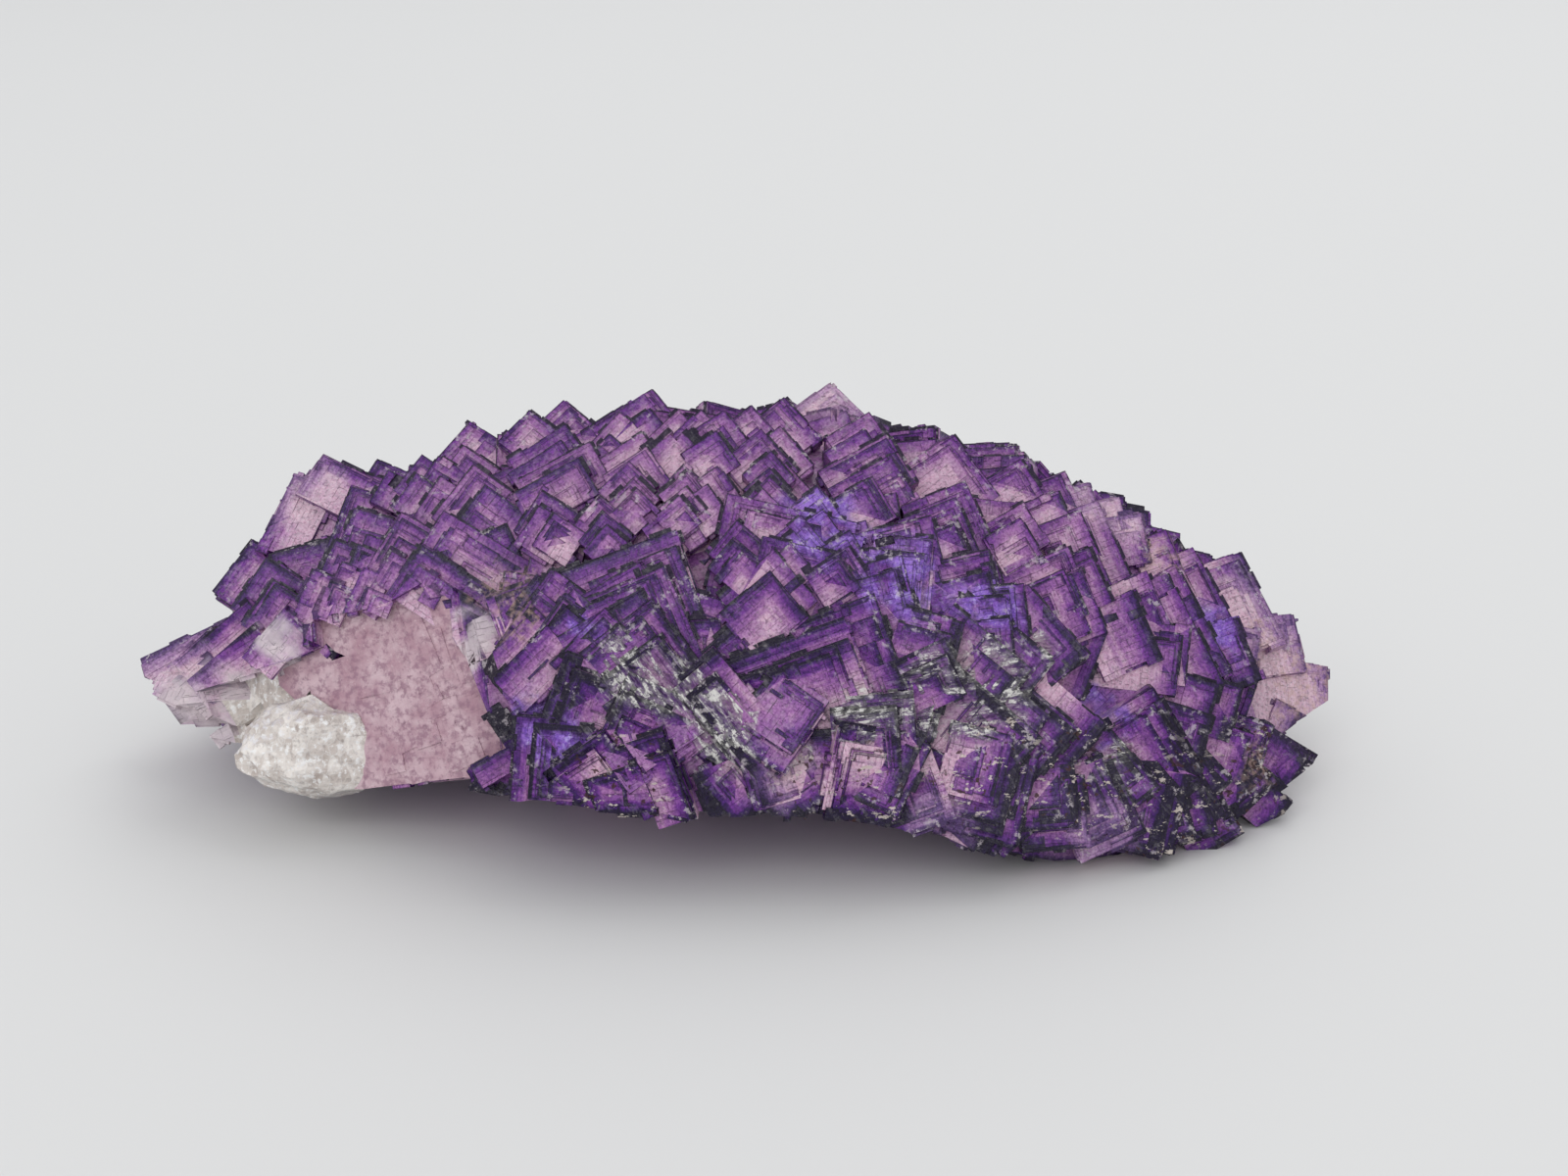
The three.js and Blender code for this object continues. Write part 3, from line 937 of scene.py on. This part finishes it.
# %% The class
class Value:
    """One number, vector or colour of the node tree."""

    tree = None

    def __init__(self, socket):
        self.socket = socket

    @classmethod
    def node(cls, kind, settings=None, inputs=None, output=0):
        """Adds a node, sets what it is, then feeds its sockets with numbers, tuples or other values."""
        made = cls.tree.nodes.new(kind)
        for name, value in (settings or {}).items():
            if name == "stops":
                while len(made.color_ramp.elements) < len(value):
                    made.color_ramp.elements.new(0.5)
                for stop, (place, colour) in zip(made.color_ramp.elements, value):
                    stop.position = place
                    stop.color = colour
            else:
                setattr(made, name, value)
        for name, value in (inputs or {}).items():
            if isinstance(value, Value):
                cls.tree.links.new(value.socket, made.inputs[name])
            else:
                made.inputs[name].default_value = value
        return cls(made.outputs[output]) if made.outputs else None

    @classmethod
    def maths(cls, operation, *values):
        return cls.node("ShaderNodeMath", {"operation": operation}, dict(enumerate(values)))

    def __add__(self, other):
        return self.maths("ADD", self, other)

    __radd__ = __add__

    def __sub__(self, other):
        return self.maths("SUBTRACT", self, other)

    def __rsub__(self, other):
        return self.maths("SUBTRACT", other, self)

    def __mul__(self, other):
        return self.maths("MULTIPLY", self, other)

    __rmul__ = __mul__

    def least(self, other):
        return self.maths("MINIMUM", self, other)

    def most(self, other):
        return self.maths("MAXIMUM", self, other)

    def rises(self, start, end):
        """0 below start and 1 above end, with a soft step between; it falls where end is below start."""
        low, high = (0, 1) if end > start else (1, 0)
        inputs = {"Value": self, "From Min": min(start, end), "From Max": max(start, end),
                  "To Min": low, "To Max": high}
        return self.node("ShaderNodeMapRange", {"interpolation_type": "SMOOTHSTEP"}, inputs)


print("operators:", "+ - *")

# %% Colours and mixes
def paint(red, green, blue):
    """A display colour, 0 to 255, as the linear colour that a socket takes."""
    def linear(level):
        share = level / 255
        return share / 12.92 if share <= 0.04045 else ((share + 0.055) / 1.055) ** 2.4
    return (linear(red), linear(green), linear(blue), 1)


def mixed(share, one, other, blend="MIX"):
    """Share 0 keeps one colour, and share 1 gives the other or blends it in fully."""
    settings = {"data_type": "RGBA", "blend_type": blend, "clamp_factor": True}
    return Value.node("ShaderNodeMix", settings, {0: share, 6: one, 7: other}, 2)


def ramp(share, stops):
    return Value.node("ShaderNodeValToRGB", {"stops": stops}, {"Fac": share})


print("display grey 128 as a linear level:", round(paint(128, 128, 128)[0], 3))

# %% Vectors and noise
def moved(vector, by):
    return Value.node("ShaderNodeVectorMath", {"operation": "ADD"}, {0: vector, 1: by})


def scaled(vector, by):
    return Value.node("ShaderNodeVectorMath", {"operation": "MULTIPLY"}, {0: vector, 1: by})


def noise(vector, size, detail=2.0, rough=0.5):
    """Cloudy noise from 0 to 1 whose clouds are about this many millimetres wide."""
    inputs = {"Vector": vector, "Scale": 1 / size, "Detail": detail, "Roughness": rough}
    return Value.node("ShaderNodeTexNoise", None, inputs)


print("noise scale for clouds of 6 mm:", round(1 / 6.0, 3))

# %% [markdown]
# ## Fluorite
# The colour lies in zones that follow the crystal's faces: nearly black violet in the last layer at
# the edges, then purple, then a pale pinkish lilac inside. Painting it by hand would blur over the
# edges. The maps written above give the distance to the edges at every point, so a ramp can do it.

# %% Start the material
fluorite = bpy.data.materials.new("fluorite")
fluorite.use_nodes = True
fluorite.node_tree.nodes.clear()
Value.tree = fluorite.node_tree

# the place on the object, in mm
place = scaled(Value.node("ShaderNodeTexCoord", output="Object"), (1 / MM,) * 3)


def map_of(name):
    return Value.node("ShaderNodeUVMap", {"uv_map": name})


def attribute(name):
    return Value.node("ShaderNodeAttribute", {"attribute_name": name}, output="Fac")


def part_of(vector, axis):
    return Value.node("ShaderNodeSeparateXYZ", None, {"Vector": vector}, axis)


print("nodes at the start:", len(Value.tree.nodes))

# %% What the faces carry
def nearest_end(front, back):
    """The distance in mm to the nearest of four edges, which two maps hold."""
    ends = [part_of(map_of(name), axis) for name in (front, back) for axis in "XY"]
    return ends[0].least(ends[1]).least(ends[2].least(ends[3]))


tone = attribute("tone")
kind = attribute("kind")
broken = kind.rises(0.4, 0.6) * kind.rises(1.6, 1.4)
glassy = kind.rises(1.4, 1.6)
zone_depth = nearest_end("zone", "zone_back")
rim_depth = nearest_end("rim", "rim_back")
height_up = part_of(place, "Z")
up = part_of(Value.node("ShaderNodeNewGeometry", output="True Normal"), "Z")
print("nodes with the maps:", len(Value.tree.nodes))

# %% Clouds of three sizes
# Each noise is read somewhere else, so that no two have their clouds in the same places.
CLOUD, FINE_CLOUD, GRIT = 6.0, 1.3, 0.45

cloud = noise(moved(place, (90, 0, 0)), CLOUD, 3, 0.6)
fine_cloud = noise(moved(place, (0, 50, 0)), FINE_CLOUD, 3, 0.65)
grit = noise(moved(place, (0, 0, 70)), GRIT, 3, 0.7)
print("widths of the clouds in mm:", CLOUD, FINE_CLOUD, GRIT)

# %% [markdown]
# ## Where the colour changes
# A big specimen isn't one purple. The far crystals and both ends are paler, partly in colour and
# partly as a painted glow of light that shines through them. A few places get a painted blue-violet
# glow of light that bounces inside, the upper right is painted lighter and the low front painted
# darker, and the lower front is dusted. A mask painted by hand would be a picture. Here each region is
# made of balls with a ragged edge: the distance to a ball's middle, disturbed by a cloud.

# %% A region
RAGGED_SCALE = 0.12
RAGGED_REACH = 16
BALL_OUTSIDE, BALL_INSIDE = 1.15, 0.55

wisp_inputs = {"Vector": place, "Scale": RAGGED_SCALE, "Detail": 3.0}
wisps = Value.node("ShaderNodeTexNoise", None, wisp_inputs, "Color")
ragged = moved(place, scaled(moved(wisps, (-0.5,) * 3), (RAGGED_REACH,) * 3))


def region(*balls):
    """1 inside any of the balls, given as (x, y, z, radius) in mm, and 0 well outside them."""
    total = None
    for x, y, z, radius in balls:
        inputs = {0: ragged, 1: (x, y, z)}
        gap = Value.node("ShaderNodeVectorMath", {"operation": "DISTANCE"}, inputs, "Value")
        ball = gap.rises(radius * BALL_OUTSIDE, radius * BALL_INSIDE)
        total = ball if total is None else total.most(ball)
    return total


print("a ball's edge is soft from", BALL_INSIDE, "to", BALL_OUTSIDE, "of its radius")

# %% Paler crystals, partly their own colour and partly a painted glow of backlight
pale_and_backlit = region(
    (-87, 2, 54, 11), (-112, -8, 20, 18), (-98, -30, 22, 10), (-106, -24, 28, 9), (19, 11, 72, 13),
    (71, -16, 56, 9), (112, -10, 18, 20), (106, -14, 34, 16), (37, -66, 14, 6), (66, -58, 5, 9),
    (8, -63, 20, 7), (-46, -47, 41, 6),
)
faded = region(
    (-78, -34, 41, 9), (-66, -38, 46, 9), (-54, -42, 48, 7), (-90, -33, 31, 9), (-108, -28, 24, 8),
)
worn = region(
    (-103, -31, 20, 9), (-96, -31, 15, 8), (-113, -21, 15, 8), (-90, -32, 24, 8), (-84, -34, 33, 6),
    (-46, -47, 41, 5),
)
print("nodes with the paler crystals:", len(Value.tree.nodes))

# %% Painted light and shade on the crystals, and a painted glow
# Painted light: the upper right and part of the crest are painted paler, as if lit more
painted_light_region = region((84, -24, 42, 22), (62, -34, 56, 16), (-12, -30, 66, 12), (102, -16, 30, 16))
# Painted shade: the low front is painted darker
painted_shade_region = region(
    (-38, -56, 24, 12), (-26, -61, 12, 13), (4, -66, 12, 12), (62, -57, 20, 16), (84, -50, 14, 15),
    (42, -62, 16, 12), (98, -38, 8, 10), (0, -58, 44, 8),
)
# Where the painted glow of light bouncing inside goes
painted_flash = region(
    (18, -40, 60, 10), (31, -46, 53, 10), (45, -47, 47, 7), (92, -27, 36, 8), (68, -49, 27, 5),
    (-31, -60, 30, 8), (-24, -52, 44, 5),
)
print("nodes with light and dark:", len(Value.tree.nodes))

# %% Dusted and stained crystals
dusty = region(
    (-17, -60, 40, 8), (-8, -61, 36, 8), (-1, -62, 30, 8), (24, -60, 20, 7), (-26, -58, 30, 4),
    (10, -61, 22, 5),
)
banded = region(
    (34, -59, 35, 9), (46, -56, 35, 9), (56, -52, 42, 4), (70, -50, 18, 6), (22, -60, 30, 6),
)
stained = region(
    (113, -9, 18, 11), (80, -20, 47, 6), (-41, -42, 48, 6), (105, -16, 26, 9), (-38, -50, 46, 5),
    (98, -36, 12, 7),
)
specked = region(
    (62, -57, 18, 14), (81, -53, 10, 14), (97, -41, 10, 14), (20, -64, 18, 14), (-20, -64, 22, 12),
    (44, -60, 22, 12), (100, -34, 16, 8),
)
print("nodes with all regions:", len(Value.tree.nodes))

# %% How deep in the colour lies
# 0 is the outermost layer and 1 the heart of a crystal. Height, regions, clouds and each face's own
# tone push the whole scale, so that neighbours differ. Height paints light and shade: the top is
# painted paler and the foot painted darker, and the lit and shaded regions do the same.
ZONE_PER_MM = 0.075
RIM_PER_MM, RIM_UP_TO = 0.08, 4.0
TOP, TOP_PAINTED_LIGHTER = (34, 72), 0.30
FOOT, FOOT_PAINTED_DARKER = (30, 12), 0.06
LIT_PAINTED_LIGHTER, FADED_PALER, DEEP_PAINTED_DARKER = 0.16, 0.3, 0.10
BANDS_PER_MM = 1.1

bands_at = zone_depth * BANDS_PER_MM + tone * 40.0
bands = Value.node(
    "ShaderNodeTexNoise", {"noise_dimensions": "1D"}, {"W": bands_at, "Scale": 1.0, "Detail": 2.0})
depth = (
    zone_depth * ZONE_PER_MM + rim_depth.least(RIM_UP_TO) * RIM_PER_MM
    + height_up.rises(*TOP) * TOP_PAINTED_LIGHTER + painted_light_region * LIT_PAINTED_LIGHTER + faded * FADED_PALER
    - height_up.rises(*FOOT) * FOOT_PAINTED_DARKER - painted_shade_region * DEEP_PAINTED_DARKER
    + (cloud - 0.5) * 0.5 + (fine_cloud - 0.5) * 0.3
    + (bands - 0.5) * 0.3 + (tone - 0.5) * 0.42
)
print("depth 6 mm in, before the pushes:", round(6 * ZONE_PER_MM + RIM_UP_TO * RIM_PER_MM, 2))

# %% Zoned purple
ZONES = [
    (0.0, paint(26, 8, 52)), (0.12, paint(66, 21, 108)), (0.32, paint(123, 56, 154)),
    (0.6, paint(176, 120, 180)), (0.95, paint(230, 194, 214)),
]
PALE_AND_BACKLIT_ZONES = [
    (0.0, paint(110, 76, 140)), (0.2, paint(178, 138, 186)), (0.7, paint(236, 206, 218)),
]
PALE_AND_BACKLIT_SHARE = 0.85
DARK_SPECK_COLOUR, DARK_SPECK_SHARE = paint(32, 12, 50), 0.45
GRIT_SHARE = 0.8

# Painted light: a violet glow of light bouncing inside, with small painted highlights
painted_glow = mixed(cloud.rises(0.35, 0.65), paint(98, 40, 164), paint(170, 128, 232))
painted_glow = mixed(fine_cloud.rises(0.56, 0.66) * 0.7, painted_glow, paint(204, 188, 250))
painted_glow_here = painted_flash * depth.rises(0.05, 0.3) * cloud.rises(0.34, 0.52) * 0.9
grey_grit = mixed(grit.rises(0.3, 0.7), paint(96, 90, 100), paint(220, 218, 220))
# Dark specks scattered over the faces
dark_specks = noise(moved(place, (0, 21, 44)), 0.8, 4, 0.75).rises(0.50, 0.36)

# Pale crystals: partly paler colour, partly a painted glow of light that shines through them
coloured = mixed(pale_and_backlit * PALE_AND_BACKLIT_SHARE, ramp(depth, ZONES), ramp(depth, PALE_AND_BACKLIT_ZONES))
coloured = mixed(painted_glow_here, coloured, painted_glow)
coloured = mixed(GRIT_SHARE, coloured, grey_grit, "SOFT_LIGHT")
coloured = mixed(dark_specks * DARK_SPECK_SHARE, coloured, DARK_SPECK_COLOUR)
print("zones:", len(ZONES), "pale zones:", len(PALE_AND_BACKLIT_ZONES))

# %% The break and the worn crystals are pale
WORN_SHARE = 0.85

milky = mixed(cloud.rises(0.3, 0.7), paint(182, 142, 156), paint(216, 188, 196))
milky = mixed(fine_cloud.rises(0.45, 0.65) * 0.8, milky, paint(156, 118, 136))
milky_grains = grit.rises(0.58, 0.7) * fine_cloud.rises(0.5, 0.4) * 0.5
milky = mixed(milky_grains, milky, paint(236, 216, 220))
chalky = mixed(fine_cloud, paint(214, 196, 204), paint(236, 228, 226))
coloured = mixed(worn * WORN_SHARE, coloured, chalky)
coloured = mixed(broken, coloured, milky)
print("nodes with the break:", len(Value.tree.nodes))

# %% The lump is clear and crackled
# Cells of a Voronoi texture are panes between cracks. The place is stretched and shaken first, so that
# the panes are long and their cracks wander. The panes' brightness is painted light on glassy facets,
# the white along the cracks and in fine spots is partly white crackle and partly painted glints, and
# the grey patches are painted shade.
PANE_STRETCH = (0.5, 0.5, 0.3)
PANE_SHAKE = (0.09,) * 3

crackle_place = moved(scaled(place, PANE_STRETCH), scaled(ragged, PANE_SHAKE))
crackle = {"Vector": crackle_place, "Scale": 1.0}
pane = part_of(Value.node("ShaderNodeTexVoronoi", None, crackle, "Color"), "X")
crack_gap = Value.node("ShaderNodeTexVoronoi", {"feature": "DISTANCE_TO_EDGE"}, crackle)
# Partly white crackle, partly painted glints
white_cracks_and_glints = crack_gap.rises(0.06, 0.0) * 0.35 + fine_cloud.rises(0.54, 0.62) * 0.8
clear = mixed(pane * 0.6 + cloud.rises(0.35, 0.65) * 0.5, paint(184, 170, 162), paint(248, 242, 236))
# Painted shade: grey patches
clear = mixed(fine_cloud.rises(0.44, 0.36) * 0.4, clear, paint(150, 140, 138))
clear = mixed(white_cracks_and_glints, clear, paint(254, 253, 252))
coloured = mixed(glassy, coloured, clear)
print("nodes with the lump:", len(Value.tree.nodes))

# %% [markdown]
# ## Joints between the small blocks
# Up close every face is a wall of tiny blocks with hair-thin dark joints. Cut as shape they would be
# millions of faces. A Brick texture on the grain map draws them instead. Two sizes are laid over each
# other, each only in patches.

# %% One wall of blocks
WALL_SHAKE = (0.04, 0.04, 0)
JOINT_SOFTNESS = 0.3

# each face reads the wall somewhere else
face_shift = {"X": tone * 91.0, "Y": tone * 53.0, "Z": tone * 17.0}
grain_place = moved(map_of("grain"), Value.node("ShaderNodeCombineXYZ", None, face_shift))


def joints_of(size, width, push):
    """Joints, 1 in the joint, and the grey of each block, in blocks of size by size mm."""
    inputs = {
        "Vector": moved(moved(grain_place, (push, push, 0)), scaled(ragged, WALL_SHAKE)),
        "Scale": 1.0, "Mortar Size": width, "Mortar Smooth": JOINT_SOFTNESS,
        "Brick Width": size[0], "Row Height": size[1],
        "Color1": (0, 0, 0, 1), "Color2": (1, 1, 1, 1), "Mortar": (0.5, 0.5, 0.5, 1),
    }
    settings = {"offset": 0.37, "offset_frequency": 2, "squash": 1.7, "squash_frequency": 3}
    node = Value.node("ShaderNodeTexBrick", settings, inputs).socket.node
    return Value(node.outputs["Fac"]), Value(node.outputs["Color"])


print("softness of a joint:", JOINT_SOFTNESS)

# %% Two walls, in patches
LONG_BLOCKS, SHORT_BLOCKS = (5.7, 2.3), (2.3, 1.1)
BLOCK_TINT = 0.3

long_joints, long_grey = joints_of(LONG_BLOCKS, 0.045, 0.0)
short_joints, short_grey = joints_of(SHORT_BLOCKS, 0.035, 31.0)
long_here = noise(moved(place, (40, 10, 70)), 2.6, 2).rises(0.46, 0.58)
short_here = noise(moved(place, (0, 70, 20)), 2.2, 2).rises(0.50, 0.60)
joints = (long_joints * long_here).most(short_joints * short_here) * (1 - glassy)
block_grey = long_grey * 0.5 + short_grey * 0.5
tint = mixed(block_grey, paint(120, 100, 130), paint(255, 255, 255))
coloured = mixed(BLOCK_TINT * (1 - glassy) * (1 - broken * 0.7), coloured, tint, "MULTIPLY")
print("blocks in mm:", LONG_BLOCKS, SHORT_BLOCKS)

# %% Dark joints, and dark edges that are partly painted step shade
JOINT_COLOUR, EDGE_AND_STEP_SHADE_COLOUR = paint(44, 26, 54), paint(20, 8, 36)

joints_shown = joints * (0.6 - broken * 0.56 - pale_and_backlit * 0.3)
wander = (fine_cloud - 0.5) * 0.5
# Dark edges: partly the crystal's darkest zone, partly painted shade where one step stands over the next
rim_dark_and_step_shade = (rim_depth + wander).rises(0.28, 0.02) * 0.75
edge_dark_and_step_shade = (zone_depth + wander).rises(0.34, 0.02).most(rim_dark_and_step_shade)
bare_edge_and_step_shade = edge_dark_and_step_shade * (1 - broken) * (1 - worn) * (1 - glassy)
coloured = mixed(joints_shown, coloured, JOINT_COLOUR)
coloured = mixed(bare_edge_and_step_shade * (0.95 - pale_and_backlit * 0.6 - faded * 0.4), coloured, EDGE_AND_STEP_SHADE_COLOUR)
print("nodes with the joints:", len(Value.tree.nodes))

# %% [markdown]
# ## Dust, stains and specks
# Fine grey dust and white flakes lie in streaks low on the front, a few crystals have a tan stain, and
# tiny brown and pale specks are scattered near the foot. Streaks come from a noise that is stretched
# along one direction, after a Mapping node has turned it.

# %% Streaks
STREAK_STRETCH = (0.14, 0.7, 0.9)


def streaks_along(turn, push):
    """Streaks that run across the front, turned by an angle in degrees from level."""
    mapping = {"Vector": place, "Location": (push, 0, 0), "Rotation": (0, math.radians(turn), 0)}
    turned = Value.node("ShaderNodeMapping", None, mapping)
    inputs = {"Vector": scaled(turned, STREAK_STRETCH), "Scale": 1.0, "Detail": 5.0, "Roughness": 0.75}
    return Value.node("ShaderNodeTexNoise", None, inputs)


slanted = streaks_along(-52, 0)
level = streaks_along(8, 80)
streaky = mixed(banded, slanted, level)
print("nodes with the streaks:", len(Value.tree.nodes))

# %% Dust, and painted sheen on faces that look up
flakes = noise(moved(place, (7, 7, 7)), 1.4, 4, 0.7)
dust_here = dusty.most(banded) * tone.rises(0.15, 0.4)
dust_colour = mixed(fine_cloud.rises(0.3, 0.7), paint(58, 54, 62), paint(160, 160, 152))
coloured = mixed(dust_here * streaky.rises(0.38, 0.52) * 0.65, coloured, dust_colour)
coloured = mixed(dust_here * streaky.rises(0.46, 0.40) * 0.7, coloured, paint(38, 24, 50))

# Faces that look up are greyed: partly dust, partly painted sheen of light from above
ledge_dust_and_sheen = up.rises(0.35, 0.9) * fine_cloud.rises(0.45, 0.62) * rim_depth.rises(0.3, 0.8) * 0.4
coloured = mixed(ledge_dust_and_sheen * (1 - broken), coloured, paint(168, 156, 172))
rim_dust = (rim_depth - 0.5).rises(0.7, 0.1) * flakes.rises(0.54, 0.60) * cloud.rises(0.5, 0.6)
coloured = mixed(rim_dust * 0.6 * (1 - broken), coloured, paint(204, 194, 200))

white_flakes = (dust_here + 0.06) * streaky.rises(0.52, 0.57) * flakes.rises(0.45, 0.52)
flake_colour = mixed(grit, paint(190, 188, 186), paint(246, 244, 238))
coloured = mixed(white_flakes, coloured, flake_colour)
print("nodes with the dust:", len(Value.tree.nodes))

# %% Stains and specks
PALE_SPECK_STRETCH = (0.7, 1, 1.5)

stains = stained * fine_cloud.rises(0.40, 0.66) * 0.5
brown_specks = noise(moved(place, (33, 12, 5)), 1.5, 2).rises(0.64, 0.67) * specked
pale_place = scaled(moved(place, (3, 62, 51)), PALE_SPECK_STRETCH)
pale_specks = noise(pale_place, 2.4, 4, 0.75).rises(0.60, 0.63) * specked
coloured = mixed(stains, coloured, paint(204, 170, 156))
coloured = mixed(brown_specks * 0.9, coloured, paint(60, 32, 30))
coloured = mixed(pale_specks * 0.85, coloured, paint(212, 200, 190))
print("nodes with the specks:", len(Value.tree.nodes))

# %% [markdown]
# ## Relief and shine
# Fluorite is glassy, but a face that is dusted, etched or jointed is duller, and no two faces reflect
# alike. The finest relief is too small for shape, so a Bump node makes it from the same clouds and
# joints that colour the face. Light goes a little way in, which a small, even share of transmission
# gives.

# %% Relief
relief_of_blocks = (block_grey * 0.14 - joints * 0.25) * (1 - broken * 0.9)
height = (
    relief_of_blocks + fine_cloud * 0.2 + grit * 0.08 + flakes * 0.1
    + (bands - 0.5) * 0.1 + glassy * (pane * 1.8 + cloud * 1.5)
)
relief = Value.node("ShaderNodeBump", None, {"Strength": 1.0, "Distance": MM, "Height": height})
print("nodes with the relief:", len(Value.tree.nodes))

# %% Shine
FLUORITE_IOR = 1.434
GLOSS = 0.14
SPECULAR = 0.35
TRANSMISSION = 0.12

dull = (dust_here * 0.6).most(white_flakes).most(joints)
roughness = GLOSS + tone * 0.2 + fine_cloud * 0.14 + dull * 0.4 - glassy * 0.16
shine = Value.node("ShaderNodeBsdfPrincipled", None, {
    "Base Color": coloured, "Roughness": roughness, "Normal": relief, "IOR": FLUORITE_IOR,
    "Specular IOR Level": SPECULAR, "Transmission Weight": TRANSMISSION,
})
Value.node("ShaderNodeOutputMaterial", None, {"Surface": shine})
crystals.data.materials.clear()
crystals.data.materials.append(fluorite)
print("nodes:", len(Value.tree.nodes))

# %% [markdown]
# ## The pale sheet
# The floor is matt card. A light grey keeps it from burning out under the soft boxes, and it needs no
# nodes beyond the ones that a new material has.

# %% Floor finish
SHEET_COLOUR = paint(206, 206, 205)
SHEET_ROUGHNESS = 0.6

sheet = bpy.data.materials.new("pale_sheet")
sheet.use_nodes = True
sheet_shader = sheet.node_tree.nodes["Principled BSDF"]
sheet_shader.inputs["Base Color"].default_value = SHEET_COLOUR
sheet_shader.inputs["Roughness"].default_value = SHEET_ROUGHNESS
floor.data.materials.append(sheet)
print("sheet:", [round(level, 2) for level in SHEET_COLOUR])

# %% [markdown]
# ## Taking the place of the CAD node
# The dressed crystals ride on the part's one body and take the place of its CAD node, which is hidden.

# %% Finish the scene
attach(crystals, "root")
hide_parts("fluorite_cluster")
